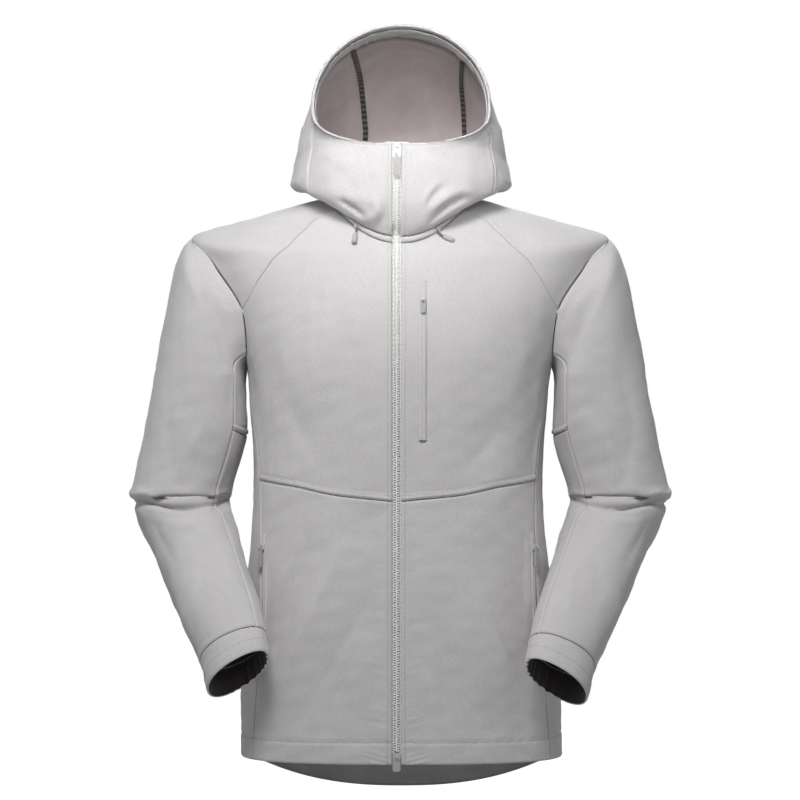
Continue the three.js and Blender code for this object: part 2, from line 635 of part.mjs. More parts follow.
// The hood row that lies a given distance from the edge of the face opening.
function rowFromRim(angle, distance) {
  let row = hoodTop;
  let last = hoodPoint(angle, row);
  let run = 0;
  while (run < distance && row > 0) {
    row -= 0.01;
    const next = hoodPoint(angle, row);
    run += next.distanceTo(last);
    last = next;
  }
  return row;
}

// Columns of hood places between two seams, up to the edge of the opening or to the rim channel.
function hoodPlaces(fromSeam, toSeam, steps, toRim) {
  return levels(0, 1, steps).map((u) => {
    const angleAt = (row) => (1 - u) * fromSeam(row) + u * toSeam(row);
    const top = toRim ? rowFromRim(angleAt(hoodTop), rimWidth) : hoodTop;
    return hoodRows.map((row) => [angleAt((row / hoodTop) * top), (row / hoodTop) * top]);
  });
}

const leftSeam = (row) => seamAngle(collarSeam, row);
const rightSeam = (row) => 2 * Math.PI - seamAngle(collarSeam, row);
const leftCrown = (row) => seamAngle(crownSeam.left, row);
const rightCrown = (row) => 2 * Math.PI - seamAngle(crownSeam.right, row);
const sideSteps = 8;
const centreSteps = 8;

for (const mirror of [false, true]) {
  const side = mirror ? "right" : "left";
  const turn = mirror ? -1 : 1;
  const edgeX = zipX + turn * zipHalf;
  const zipEdge = (row) => turn * angleAtX(hoodPoint, row, edgeX);
  const bandEdge = turn * angleAtX(bandPoint, 0, edgeX);
  const frontAngles = levels(bandEdge, neckFrontEnd[0], 8);
  const bandAngles = [...frontAngles, ...levels(neckFrontEnd[0], Math.PI, 12).slice(1)];
  piece("neck_band_" + side, bandPoint,
    bandAngles.map((a) => [[a, bandShare.low], [a, bandShare.high]]), bandGrey, { mirror });
  piece("collar_" + side, hoodPoint, hoodPlaces(zipEdge, leftSeam, 8, false), softGrey,
    { mirror, keep: "t" });
  const crown = mirror ? crownSeam.right : crownSeam.left;
  piece("hood_side_" + side, hoodPoint,
    hoodPlaces(leftSeam, (row) => seamAngle(crown, row), sideSteps, true), softGrey, { mirror });
}
piece("hood_centre", hoodPoint, hoodPlaces(leftCrown, rightCrown, centreSteps, true), softGrey);

// Rim channel, facing and seam tapes
const hoodColumns = [
  ...hoodPlaces(leftSeam, leftCrown, sideSteps, true),
  ...hoodPlaces(leftCrown, rightCrown, centreSteps, true).slice(1),
  ...hoodPlaces(rightCrown, rightSeam, sideSteps, true).slice(1),
];
const topAngles = [
  ...line([leftSeam(hoodTop)], [leftCrown(hoodTop)], sideSteps),
  ...line([leftCrown(hoodTop)], [rightCrown(hoodTop)], centreSteps).slice(1),
  ...line([rightCrown(hoodTop)], [rightSeam(hoodTop)], sideSteps).slice(1),
].flat();
piece("hood_rim", hoodPoint, hoodColumns.map((column, i) => [column.at(-1), [topAngles[i], hoodTop]]), bandGrey,
  { lift: 0.4, thick: rimThick, keep: "t" });
const facingAngle = THREE.MathUtils.degToRad(facing.from);
const facingDrop = (a) => {
  const share = Math.sin((Math.PI * (a - facingAngle)) / (2 * (Math.PI - facingAngle)));
  return facing.edge + (facing.top - facing.edge) * share ** 2;
};
const insideCloth = -cloth - 0.5;
piece("hood_facing", hoodPoint,
  levels(facingAngle, 2 * Math.PI - facingAngle, 24).map((a) => {
    const drop = facingDrop(a);
    return [1, 0.66, 0.33, 0].map((share) => [a, rowFromRim(a, rimWidth + 1 + drop * share)]);
  }), bandGrey, { lift: insideCloth - 0.9, thick: facing.thick });
for (const mirror of [false, true]) {
  const side = mirror ? "right" : "left";
  const crown = mirror ? crownSeam.right : crownSeam.left;
  const top = rowFromRim(seamAngle(crown, hoodTop), rimWidth);
  const last = rowFromRim(seamAngle(crown, hoodTop), rimWidth + facing.top + 4);
  const columns = [-0.5, 0.5].map((share) =>
    hoodRows.map((row) => (row / hoodTop) * top).filter((t) => t > 0.3 && t < last).map((t) => [
      seamAngle(crown, t) + (share * tapeStrip.width) / rowAt(hood, t).side, t]));
  piece("seam_tape_" + side, hoodPoint, columns, tapeGrey,
    { mirror, lift: insideCloth, thick: tapeStrip.thick });
}

// Main zip tapes, behind the folded edges of the fronts from hem to collar top. They run a little
// deeper across the neck band.
const tapeDepth = 0.7;
const neckDepth = 2.4;
for (const mirror of [false, true]) {
  const side = mirror ? "right" : "left";
  const turn = mirror ? -1 : 1;
  const offsets = [0.4, zipHalf, tapeWidth].map((d) => zipX + turn * d);
  const path = [
    ...levels(0, neckRow - 1, 22).map((t) => [bodyPoint, t, tapeDepth]),
    ...levels(neckRow - 0.5, neckRow, 1).map((t) => [bodyPoint, t, neckDepth]),
    ...levels(0, 0.5, 1).map((t) => [hoodPoint, t, neckDepth]),
    ...levels(1, hoodTop, 8).map((t) => [hoodPoint, t, tapeDepth]),
  ];
  const grid = (lift) => offsets.map((x) =>
    path.map(([point, t, depth]) => {
      const a = angleAtX(point, t, x);
      return point(a, t).addScaledVector(normalOf(point, a, t), lift - depth);
    }));
  add("zip_tape_" + side, wallSolid(grid(insideCloth), grid(insideCloth - tapeThick)), zipGrey);
}

// Small hard parts
function toSolid(geometry) {
  const plain = geometry.clone();
  plain.deleteAttribute("normal");
  plain.deleteAttribute("uv");
  const merged = mergeVertices(plain, 1e-4);
  return new wasm.Manifold(new wasm.Mesh({
    numProp: 3,
    vertProperties: new Float32Array(merged.attributes.position.array),
    triVerts: new Uint32Array(merged.index.array),
  }));
}

function toGeometry(solid) {
  const mesh = solid.getMesh();
  const geometry = new THREE.BufferGeometry();
  geometry.setAttribute("position", new THREE.BufferAttribute(mesh.vertProperties, 3));
  geometry.setIndex(new THREE.BufferAttribute(mesh.triVerts, 1));
  return geometry;
}

// A plate of a drawn outline, standing in XZ with its thickness along Y.
function plate(shape, thick, curveSegments = 4) {
  const geometry = new THREE.ExtrudeGeometry(shape, { depth: thick, bevelEnabled: false, curveSegments });
  geometry.translate(0, 0, -thick / 2);
  geometry.rotateX(Math.PI / 2);
  return geometry;
}

function roundedShape(width, top, bottom, radius) {
  const shape = new THREE.Shape();
  const w = width / 2;
  shape.moveTo(-w, bottom + radius);
  shape.absarc(-w + radius, bottom + radius, radius, Math.PI, 1.5 * Math.PI);
  shape.absarc(w - radius, bottom + radius, radius, 1.5 * Math.PI, 2 * Math.PI);
  shape.absarc(w - radius, top - radius, radius, 0, 0.5 * Math.PI);
  shape.absarc(-w + radius, top - radius, radius, 0.5 * Math.PI, Math.PI);
  shape.closePath();
  return shape;
}

const bridge = { outer: 2.5, hole: 1.35, thick: 1.4, bar: 1.5 };

// A slider: a rounded body with a loop on its face that the pull's top bar passes through.
function sliderGeometry({ width, height, deep }) {
  const block = plate(roundedShape(width, height / 2, -height / 2, 1.2), deep);
  const loop = new THREE.Shape().absarc(0, 0, bridge.outer, 0, 2 * Math.PI);
  loop.holes.push(new THREE.Path().absarc(0, 0, bridge.hole, 0, 2 * Math.PI));
  const ring = new THREE.ExtrudeGeometry(loop, { depth: bridge.thick, bevelEnabled: false, curveSegments: 6 });
  ring.translate(0, 0, -bridge.thick / 2);
  ring.rotateY(Math.PI / 2);
  ring.translate(0, -deep / 2 - bridge.outer + 0.7, 0);
  return toGeometry(toSolid(block).add(toSolid(ring)));
}

// A pull: a flat tab that hangs from its top bar, at the local origin.
function pullGeometry({ width, length, thick }) {
  const eye = Math.min(width, 5.4);
  const shape = new THREE.Shape();
  const half = bridge.bar / 2;
  const shoulder = -6;
  shape.moveTo(-eye / 2, half);
  shape.lineTo(-eye / 2, shoulder + 1.2);
  shape.lineTo(-width / 2, shoulder);
  shape.lineTo(-width / 2, -length + 2.5);
  shape.absarc(-width / 2 + 2.5, -length + 2.5, 2.5, Math.PI, 1.5 * Math.PI);
  shape.absarc(width / 2 - 2.5, -length + 2.5, 2.5, 1.5 * Math.PI, 2 * Math.PI);
  shape.lineTo(width / 2, shoulder);
  shape.lineTo(eye / 2, shoulder + 1.2);
  shape.lineTo(eye / 2, half);
  shape.closePath();
  const windowHalf = bridge.thick / 2 + 0.5;
  const hole = new THREE.Path();
  hole.moveTo(-windowHalf, -half);
  hole.lineTo(windowHalf, -half);
  hole.lineTo(windowHalf, -half - 2.6);
  hole.lineTo(-windowHalf, -half - 2.6);
  hole.closePath();
  shape.holes.push(hole);
  return plate(shape, thick);
}

// Puts a slider and its pull on a surface: out is the way the surface faces there.
function zipHardware(names, at, out, sliderSize, pullSize) {
  const turn = Math.atan2(out.x, -out.y);
  const seat = new THREE.Group();
  seat.position.copy(at);
  seat.rotation.z = turn;
  const slider = new THREE.Mesh(sliderGeometry(sliderSize), metalGrey);
  slider.name = names[0];
  const pull = new THREE.Mesh(pullGeometry(pullSize), pullGrey);
  pull.name = names[1];
  pull.position.y = -sliderSize.deep / 2 - bridge.outer + 0.7;
  seat.add(slider, pull);
  jacket.add(seat);
}

const facingFront = new THREE.Vector3(0, -1, 0);
const mainSlider = { width: 8.6, height: 9.5, deep: 4.6 };
zipHardware(["main_slider", "main_pull"], new THREE.Vector3(zipX, -101.6, 42), facingFront, mainSlider,
  mainPull);
zipHardware(["hem_slider", "hem_pull"], new THREE.Vector3(zipX, -128.6, -659), facingFront, mainSlider,
  { width: 9, length: 16, thick: 1.5 });

// Pocket zips lie on the panels as narrow bands with a slider at the top end.
const bandThick = 1.1;
const bandLift = 0.4 + bandThick;
const pocketSlider = { width: 5.6, height: 7, deep: 2.6 };
const pocketSeat = 0.7;
const pocketPull = { width: 6.4, length: 15, thick: 1.3 };

function sliderSeat(place, mirror) {
  const turn = mirror ? -1 : 1;
  const [a, t] = [turn * place[0], place[1]];
  const out = normalOf(bodyPoint, a, t);
  const level = out.clone().setZ(0).normalize();
  return { at: bodyPoint(a, t).addScaledVector(level, bandLift + pocketSeat + pocketSlider.deep / 2), level };
}

const chestZip = { x: 26.4, half: 4.6, top: -109, bottom: -293, slider: -130 };
const chestLevels = levels(chestZip.bottom, chestZip.top, 10);
piece("chest_zip", bodyPoint, [-1, 0, 1].map((s) =>
  chestLevels.map((z) => frontAt([chestZip.x + s * chestZip.half, z]))), zipGrey,
  { lift: bandLift, thick: bandThick, relief: bodyRelief });
const chestSeat = sliderSeat(frontAt([chestZip.x, chestZip.slider]), false);
zipHardware(["chest_slider", "chest_pull"], chestSeat.at, chestSeat.level, pocketSlider, pocketPull);

const handZip = { fromRow: 4.5, toRow: 2.65, near: 3, far: 10, slider: 4.28 };
for (const mirror of [false, true]) {
  const side = mirror ? "right" : "left";
  const seamAt = (t) => {
    const k = sideFrontLow.findIndex((place) => place[1] <= t);
    const [a, b] = [sideFrontLow[k - 1], sideFrontLow[k]];
    return a[0] + ((b[0] - a[0]) * (a[1] - t)) / (a[1] - b[1]);
  };
  const offset = (t, distance) => {
    const a = seamAt(t);
    return [a - (distance * 0.01) / bodyPoint(a, t).distanceTo(bodyPoint(a - 0.01, t)), t];
  };
  const rowList = levels(handZip.toRow, handZip.fromRow, 8);
  piece("hand_zip_" + side, bodyPoint,
    [handZip.far, (handZip.far + handZip.near) / 2, handZip.near].map((d) => rowList.map((t) => offset(t, d))),
    zipGrey, { mirror, lift: bandLift, thick: bandThick, relief: bodyRelief });
  const seat = sliderSeat(offset(handZip.slider, (handZip.far + handZip.near) / 2), mirror);
  zipHardware(["hand_slider_" + side, "hand_pull_" + side], seat.at, seat.level, pocketSlider,
    { width: 6.4, length: 24, thick: 1.3 });
}

// Drawcord ends, each with its end piece, and the tabs on the neck band that they come out of. A route
// starts under its tab and ends in the tip of its end piece.
const cordRoutes = {
  right: [
    [-50.6, -73, -39.6], [-50.7, -74.5, -41.2], [-50.8, -76, -42.8], [-50.9, -77.5, -44.4],
    [-51.1, -79, -46], [-51.3, -80.6, -47.6], [-51.6, -82.1, -49.2], [-51.9, -83.6, -50.8],
    [-52.2, -85.1, -52.4], [-52.5, -86.6, -54], [-52.8, -88.1, -55.6], [-53.1, -89.6, -57.2],
    [-53.4, -91.1, -58.8], [-53.7, -92.6, -60.4], [-54, -94.1, -62],
  ],
  left: [
    [43, -76.8, -42.6], [43.2, -78.2, -44.3], [43.5, -79.7, -46], [44.1, -81.2, -47.6],
    [45, -82.6, -49.1], [46.2, -83.9, -50.5], [47.6, -85, -51.9], [49.2, -86, -53.2],
    [50.9, -86.8, -54.5], [52.7, -87.5, -55.7], [54.6, -88.1, -56.8], [56.6, -88.6, -57.7],
    [58.7, -89, -58.5], [60.9, -89.6, -59], [63.1, -90, -59.4],
  ],
};
const cordFree = { right: [3, 7], left: [3, 8] };
const cordEnd = { radius: 3.2, tip: 2.4 };
const tab = { width: 6.5, height: 7, thick: 1.2, out: 2.5 };

for (const [side, route] of Object.entries(cordRoutes)) {
  const [from, to] = cordFree[side];
  const points = route.map((p) => new THREE.Vector3(...p));
  const section = new THREE.Shape().absarc(0, 0, cordRadius, 0, 2 * Math.PI);
  add("drawcord_" + side, new THREE.ExtrudeGeometry(section, {
    steps: 4, extrudePath: new THREE.CatmullRomCurve3(points.slice(from, to + 1)), curveSegments: 4,
    bevelEnabled: false,
  }), cordGrey);
  const along = points.at(-1).clone().sub(points[to]);
  const length = along.length();
  along.normalize();
  const profile = [
    [0, 0], [cordEnd.tip, 0], [cordEnd.radius, 3], [cordEnd.radius, length - 2],
    [cordEnd.radius - 1.2, length], [0, length],
  ].map((p) => new THREE.Vector2(...p));
  const end = add("cord_end_" + side, new THREE.LatheGeometry(profile, 10), pullGrey);
  end.position.copy(points[to]).addScaledVector(along, 0.35);
  end.quaternion.setFromUnitVectors(new THREE.Vector3(0, 1, 0), along);

  const angle = (side === "left" ? 1 : -1) * (side === "left" ? 0.52 : 0.61);
  const out = new THREE.Vector3(Math.sin(angle), -Math.cos(angle), 0);
  const block = add("cord_tab_" + side, new THREE.BoxGeometry(tab.width, tab.thick, tab.height), bandGrey);
  block.position.copy(bandPoint(angle, 0.4)).addScaledVector(out, tab.out);
  block.rotation.z = angle;
}

export default jacket;
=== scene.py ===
import math
import bpy
import numpy as np
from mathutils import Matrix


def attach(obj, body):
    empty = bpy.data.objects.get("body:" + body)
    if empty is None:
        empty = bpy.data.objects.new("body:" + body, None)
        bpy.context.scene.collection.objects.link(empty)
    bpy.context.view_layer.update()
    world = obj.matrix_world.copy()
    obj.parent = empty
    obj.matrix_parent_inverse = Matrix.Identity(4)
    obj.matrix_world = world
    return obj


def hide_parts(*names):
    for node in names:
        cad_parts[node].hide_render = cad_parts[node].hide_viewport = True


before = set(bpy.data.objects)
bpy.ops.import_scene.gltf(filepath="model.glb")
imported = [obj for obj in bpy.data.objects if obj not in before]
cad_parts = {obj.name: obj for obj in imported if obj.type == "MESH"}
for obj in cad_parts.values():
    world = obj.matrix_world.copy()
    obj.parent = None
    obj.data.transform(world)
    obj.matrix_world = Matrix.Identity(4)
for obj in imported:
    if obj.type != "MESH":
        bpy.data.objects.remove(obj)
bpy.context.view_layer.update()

mm = 0.001
jacketBody = "jacket"
zipX = -4.0           # the front zip stands a little to the wearer's right
zipHalf = 5.0         # zip axis to the folded edge of each front
quarter = math.pi / 2
sides = ("left", "right")


# Camera, level with the middle of the jacket
cameraSet = {"distance": 3.5, "height": -0.246, "mmPerPixel": 1.2, "pixels": 800, "sensor": 36.0}


def addCamera(s):
    data = bpy.data.cameras.new("productCamera")
    data.sensor_width = s["sensor"]
    data.lens = s["distance"] / (s["mmPerPixel"] * mm) * s["sensor"] / s["pixels"]
    data.clip_end = 30
    eye = bpy.data.objects.new("productCamera", data)
    eye.location = (0, -s["distance"], s["height"])
    eye.rotation_euler = (quarter, 0, 0)
    bpy.context.scene.collection.objects.link(eye)
    bpy.context.scene.camera = eye


addCamera(cameraSet)
print("camera set")


# Colours and material nodes
def hexToLinear(code):
    parts = [int(code[i:i + 2], 16) / 255 for i in (1, 3, 5)]
    return [c / 12.92 if c <= 0.04045 else ((c + 0.055) / 1.055) ** 2.4 for c in parts] + [1.0]


def addNode(tree, kind, settings=None, inputs=None):
    node = tree.nodes.new(kind)
    for key, value in (settings or {}).items():
        setattr(node, key, value)
    for key, value in (inputs or {}).items():
        if isinstance(value, bpy.types.NodeSocket):
            tree.links.new(value, node.inputs[key])
        else:
            node.inputs[key].default_value = value
    return node


def newMaterial(name, inputs):
    material = bpy.data.materials.new(name)
    material.use_nodes = True
    tree = material.node_tree
    tree.nodes.clear()
    shader = addNode(tree, "ShaderNodeBsdfPrincipled", inputs=inputs)
    addNode(tree, "ShaderNodeOutputMaterial", inputs={"Surface": shader.outputs[0]})
    return material, tree, shader


# A tone that wanders between two colours, driven by a texture's output
def mottle(tree, shader, factor, dark, light, low=0.3, high=0.7):
    ramp = addNode(tree, "ShaderNodeValToRGB", inputs={"Fac": factor})
    ramp.color_ramp.elements[0].position = low
    ramp.color_ramp.elements[0].color = hexToLinear(dark)
    ramp.color_ramp.elements[1].position = high
    ramp.color_ramp.elements[1].color = hexToLinear(light)
    tree.links.new(ramp.outputs["Color"], shader.inputs["Base Color"])


# Raises a texture's output as fine relief, over the relief that is there already
def addRelief(tree, shader, strength, distance, height):
    bump = addNode(tree, "ShaderNodeBump", inputs={
        "Strength": strength, "Distance": distance, "Height": height})
    for link in shader.inputs["Normal"].links:
        tree.links.new(link.from_socket, bump.inputs["Normal"])
    tree.links.new(bump.outputs[0], shader.inputs["Normal"])


# Woven polyester face of a softshell, lightly brushed: a dry matte cloth with a fine level crepe grain
def softshellFace(name, s):
    material, tree, shader = newMaterial(name, {
        "Roughness": s["roughness"], "IOR": 1.5, "Specular IOR Level": 0.25,
        "Sheen Weight": s["sheen"], "Sheen Roughness": 0.45})
    uv = addNode(tree, "ShaderNodeUVMap", {"uv_map": "clothUv"})
    place = addNode(tree, "ShaderNodeTexCoord")
    crepe = addNode(tree, "ShaderNodeMapping", inputs={
        "Vector": uv.outputs[0], "Scale": (1 / s["grainWide"], 1 / s["grainTall"], 1)})
    grain = addNode(tree, "ShaderNodeTexNoise", inputs={
        "Vector": crepe.outputs[0], "Scale": 1.0, "Detail": 3.0, "Roughness": 0.6})
    weaveMap = addNode(tree, "ShaderNodeMapping", inputs={
        "Vector": uv.outputs[0], "Scale": (1 / s["thread"], 1 / s["thread"], 1), "Rotation": (0, 0, 0.6)})
    weave = addNode(tree, "ShaderNodeTexWave", {"bands_direction": "DIAGONAL"}, {
        "Vector": weaveMap.outputs[0], "Scale": 0.5, "Distortion": 1.2, "Detail": 1.0})
    patch = addNode(tree, "ShaderNodeTexNoise", inputs={
        "Vector": place.outputs["Object"], "Scale": 1 / s["patch"], "Detail": 4.0, "Roughness": 0.65})
    blend = addNode(tree, "ShaderNodeMath", {"operation": "MULTIPLY_ADD"}, {
        0: patch.outputs["Fac"], 1: 0.35, 2: grain.outputs["Fac"]})
    mottle(tree, shader, blend.outputs[0], s["dark"], s["light"], 0.35, 1.0)
    addRelief(tree, shader, 0.25, s["threadDepth"], weave.outputs["Fac"])
    addRelief(tree, shader, s["grainStrength"], s["grainDepth"], grain.outputs["Fac"])
    return material


faceSet = {
    "dark": "#bab8b8", "light": "#cfcdcd", "roughness": 0.8, "sheen": 0.2,
    "grainWide": 4.5 * mm, "grainTall": 1.5 * mm, "grainDepth": 0.35 * mm, "grainStrength": 0.8,
    "thread": 0.9 * mm, "threadDepth": 0.08 * mm,   # real thread is 0.4 mm, drawn coarser to show
    "patch": 60 * mm,
}


backingSet = {"nap": 1.2 * mm, "patch": 45 * mm}


# Brushed knit backing of the softshell: a soft nap, no gloss
def brushedBacking(name, dark, light):
    material, tree, shader = newMaterial(name, {
        "Roughness": 0.95, "IOR": 1.45, "Specular IOR Level": 0.12, "Sheen Weight": 0.35,
        "Sheen Roughness": 0.5})
    place = addNode(tree, "ShaderNodeTexCoord")
    nap = addNode(tree, "ShaderNodeTexNoise", inputs={
        "Vector": place.outputs["Object"], "Scale": 1 / backingSet["nap"], "Detail": 4.0, "Roughness": 0.7})
    patch = addNode(tree, "ShaderNodeTexNoise", inputs={
        "Vector": place.outputs["Object"], "Scale": 1 / backingSet["patch"], "Detail": 3.0,
        "Roughness": 0.6})
    blend = addNode(tree, "ShaderNodeMath", {"operation": "MULTIPLY_ADD"}, {
        0: nap.outputs["Fac"], 1: 0.4, 2: patch.outputs["Fac"]})
    mottle(tree, shader, blend.outputs[0], dark, light, 0.45, 0.95)
    addRelief(tree, shader, 0.5, 0.25 * mm, nap.outputs["Fac"])
    return material


# Woven narrow goods, such as zip tape or seam binding: a flat cloth with crosswise ribs
def ribbedTape(name, dark, light, rib):
    material, tree, shader = newMaterial(name, {
        "Roughness": 0.8, "IOR": 1.5, "Specular IOR Level": 0.2, "Sheen Weight": 0.1})
    uv = addNode(tree, "ShaderNodeUVMap", {"uv_map": "clothUv"})
    ribMap = addNode(tree, "ShaderNodeMapping", inputs={
        "Vector": uv.outputs[0], "Scale": (1, 1 / (20 * rib), 1)})
    ribs = addNode(tree, "ShaderNodeTexWave", {"bands_direction": "Y"}, {
        "Vector": ribMap.outputs[0], "Scale": 1.0, "Distortion": 0.6, "Detail": 1.0, "Detail Scale": 4.0})
    mottle(tree, shader, ribs.outputs["Fac"], dark, light, 0.1, 0.9)
    addRelief(tree, shader, 0.6, 0.25 * mm, ribs.outputs["Fac"])
    return material


# Moulded or cast small parts: an even skin with a slight sheen and fine pores
def mouldedPart(name, s):
    material, tree, shader = newMaterial(name, {
        "Roughness": s["roughness"], "IOR": s["ior"], "Metallic": s["metallic"],
        "Coat Weight": s["coat"], "Coat Roughness": 0.3})
    place = addNode(tree, "ShaderNodeTexCoord")
    pores = addNode(tree, "ShaderNodeTexNoise", inputs={
        "Vector": place.outputs["Object"], "Scale": 1 / s["pore"], "Detail": 3.0})
    mottle(tree, shader, pores.outputs["Fac"], s["dark"], s["light"])
    addRelief(tree, shader, 0.3, 0.05 * mm, pores.outputs["Fac"])
    return material


# Braided polyester cord and thread: fine slanting strands
def braidedCord(name, dark, light, strand):
    material, tree, shader = newMaterial(name, {
        "Roughness": 0.75, "IOR": 1.5, "Specular IOR Level": 0.3, "Sheen Weight": 0.15})
    place = addNode(tree, "ShaderNodeTexCoord")
    wave = addNode(tree, "ShaderNodeTexWave", {"bands_direction": "DIAGONAL"}, {
        "Vector": place.outputs["Object"], "Scale": 1 / (20 * strand), "Distortion": 2.0, "Detail": 2.0})
    mottle(tree, shader, wave.outputs["Fac"], dark, light, 0.2, 0.8)
    addRelief(tree, shader, 0.5, 0.1 * mm, wave.outputs["Fac"])
    return material


face = softshellFace("softshellFace", faceSet)
backing = brushedBacking("brushedKnitBacking", "#b3a8a8", "#cabfbe")
# The inside of the back is a plainer grey, darkened with painted shade, and that of the sleeves is darker
# still, painted shade for the deep shade inside them
backInsidePaintedShade = brushedBacking("greyHemInside", "#989696", "#acaaaa")
sleeveInsidePaintedShade = brushedBacking("shadedSleeveInside", "#4d4847", "#5f5957")
binding = ribbedTape("seamBinding", "#3c3a3a", "#6a6766", 1.1 * mm)
tapeCloth = ribbedTape("wovenZipTape", "#cbcac8", "#dcdbd9", 0.9 * mm)
nylon = mouldedPart("nylonTeeth", {
    "dark": "#e0e0de", "light": "#eeeeeb", "roughness": 0.42, "ior": 1.53, "metallic": 0.0,
    "coat": 0.0, "pore": 1.5 * mm})
enamel = mouldedPart("enamelledZinc", {
    "dark": "#bdbdbb", "light": "#cdcdca", "roughness": 0.35, "ior": 1.5, "metallic": 0.15,
    "coat": 0.3, "pore": 2 * mm})
tabPlastic = mouldedPart("softTouchTab", {
    "dark": "#a3a2a0", "light": "#b4b3b0", "roughness": 0.6, "ior": 1.49, "metallic": 0.0,
    "coat": 0.0, "pore": 1 * mm})
thread = braidedCord("sewingThread", "#8d8b8a", "#aaa8a6", 0.3 * mm)
cordBraid = braidedCord("braidedCord", "#565453", "#7a7877", 0.5 * mm)
print("materials made")


# Drawcord ends, on the routes that the solids follow
cordSet = {
    "radius": 1.3,
    "routes": {
        "right": [
            (-50.6, -73, -39.6), (-50.7, -74.5, -41.2), (-50.8, -76, -42.8), (-50.9, -77.5, -44.4),
            (-51.1, -79, -46), (-51.3, -80.6, -47.6), (-51.6, -82.1, -49.2), (-51.9, -83.6, -50.8),
            (-52.2, -85.1, -52.4), (-52.5, -86.6, -54), (-52.8, -88.1, -55.6), (-53.1, -89.6, -57.2),
            (-53.4, -91.1, -58.8), (-53.7, -92.6, -60.4), (-54, -94.1, -62)],
        "left": [
            (43, -76.8, -42.6), (43.2, -78.2, -44.3), (43.5, -79.7, -46), (44.1, -81.2, -47.6),
            (45, -82.6, -49.1), (46.2, -83.9, -50.5), (47.6, -85, -51.9), (49.2, -86, -53.2),
            (50.9, -86.8, -54.5), (52.7, -87.5, -55.7), (54.6, -88.1, -56.8), (56.6, -88.6, -57.7),
            (58.7, -89, -58.5), (60.9, -89.6, -59), (63.1, -90, -59.4)],
    },
}


def addCord(side):
    route = [tuple(c * mm for c in p) for p in cordSet["routes"][side]]
    data = bpy.data.curves.new("cord_" + side, "CURVE")
    data.dimensions = "3D"
    data.bevel_depth = cordSet["radius"] * mm
    data.bevel_resolution = 3
    spline = data.splines.new("POLY")
    spline.points.add(len(route) - 1)
    for spot, p in zip(spline.points, route):
        spot.co = (*p, 1)
    data.materials.append(cordBraid)
    piece = bpy.data.objects.new("cord_" + side, data)
    bpy.context.scene.collection.objects.link(piece)
    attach(piece, jacketBody)
    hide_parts("drawcord_" + side)


for side in ("right", "left"):
    addCord(side)
print("cords laid")


# Sections of the body from hem to neck, of the hood from the neck band up, and of a sleeve from the
# armhole to the cuff, as in the solids
# centreX, side, sideY, sideZ, frontY, frontZ, backY, backZ, squareFront, squareBack, dip
body = np.array([
    [2, 192, 0, -670, -128, -668, 122, -725, 2.5, 2.4, 2],
    [1.5, 192, 0, -645, -127, -645, 121, -692, 2.5, 2.4, 2],
    [1, 189.5, 0, -590, -124, -590, 118, -625, 2.5, 2.4, 2],
    [0, 184.5, 0, -520, -121, -520, 114, -540, 2.5, 2.4, 2],
    [-1.5, 178.5, 0, -440, -118, -440, 110, -448, 2.45, 2.4, 2],
    [-2.5, 173.5, 0, -372, -116, -362, 109, -372, 2.4, 2.4, 2],
    [-2.5, 174, 0, -312, -118, -304, 113, -308, 2.4, 2.4, 2],
    [-2, 177.5, 0, -258, -121, -250, 119, -250, 2.4, 2.4, 2],
    [-1, 182.5, 0, -206, -122, -200, 125, -192, 2.4, 2.4, 2],
    [0, 197, 1, -160, -119, -158, 127, -142, 2.35, 2.3, 2],
    [0, 217, 2, -120, -113, -122, 124, -98, 2.3, 2.25, 2],
    [0, 237, 3, -82, -106, -93, 117, -60, 2.25, 2.2, 1.7],
    [0, 249, 4, -51, -100, -76, 107, -30, 2.2, 2.1, 1.5],
    [0, 206, 5, -36, -96, -70, 97, -12, 2.1, 2.1, 1.6],
    [0, 152, 5, -21, -92, -65, 86, -1, 2.1, 2.1, 2],
    [0, 108, 5, -9, -89, -63, 77, 5, 2.1, 2.1, 2],
    [0, 86, 5, -3, -87, -62, 71, 9, 2.1, 2.1, 2],
])
hood = np.array([
    [0, 85, 5, 3, -88, -55, 70, 16, 2.1, 2.1, 2],
    [0, 108, 3, 3, -97, -40, 86, 15, 2.2, 2.1, 2],
    [1, 127, 0, 9, -103, -20, 103, 22, 2.3, 2.1, 2],
    [1, 129.5, -2, 27, -104, 3, 117, 50, 2.35, 2.1, 2],
    [1, 123.5, -8, 56, -102, 27, 124, 90, 2.4, 2.1, 1.8],
    [1.5, 116.5, -19, 80, -100, 43, 118, 129, 2.55, 2.1, 1.6],
    [1.5, 110, -38, 96, -99, 50, 92, 161, 2.8, 2.05, 1.3],
    [1.5, 106, -60, 101, -98, 53, 32, 180, 3, 2, 1.1],
    [1.5, 104, -80, 100, -98, 54, -84, 194, 3, 2, 1],
])
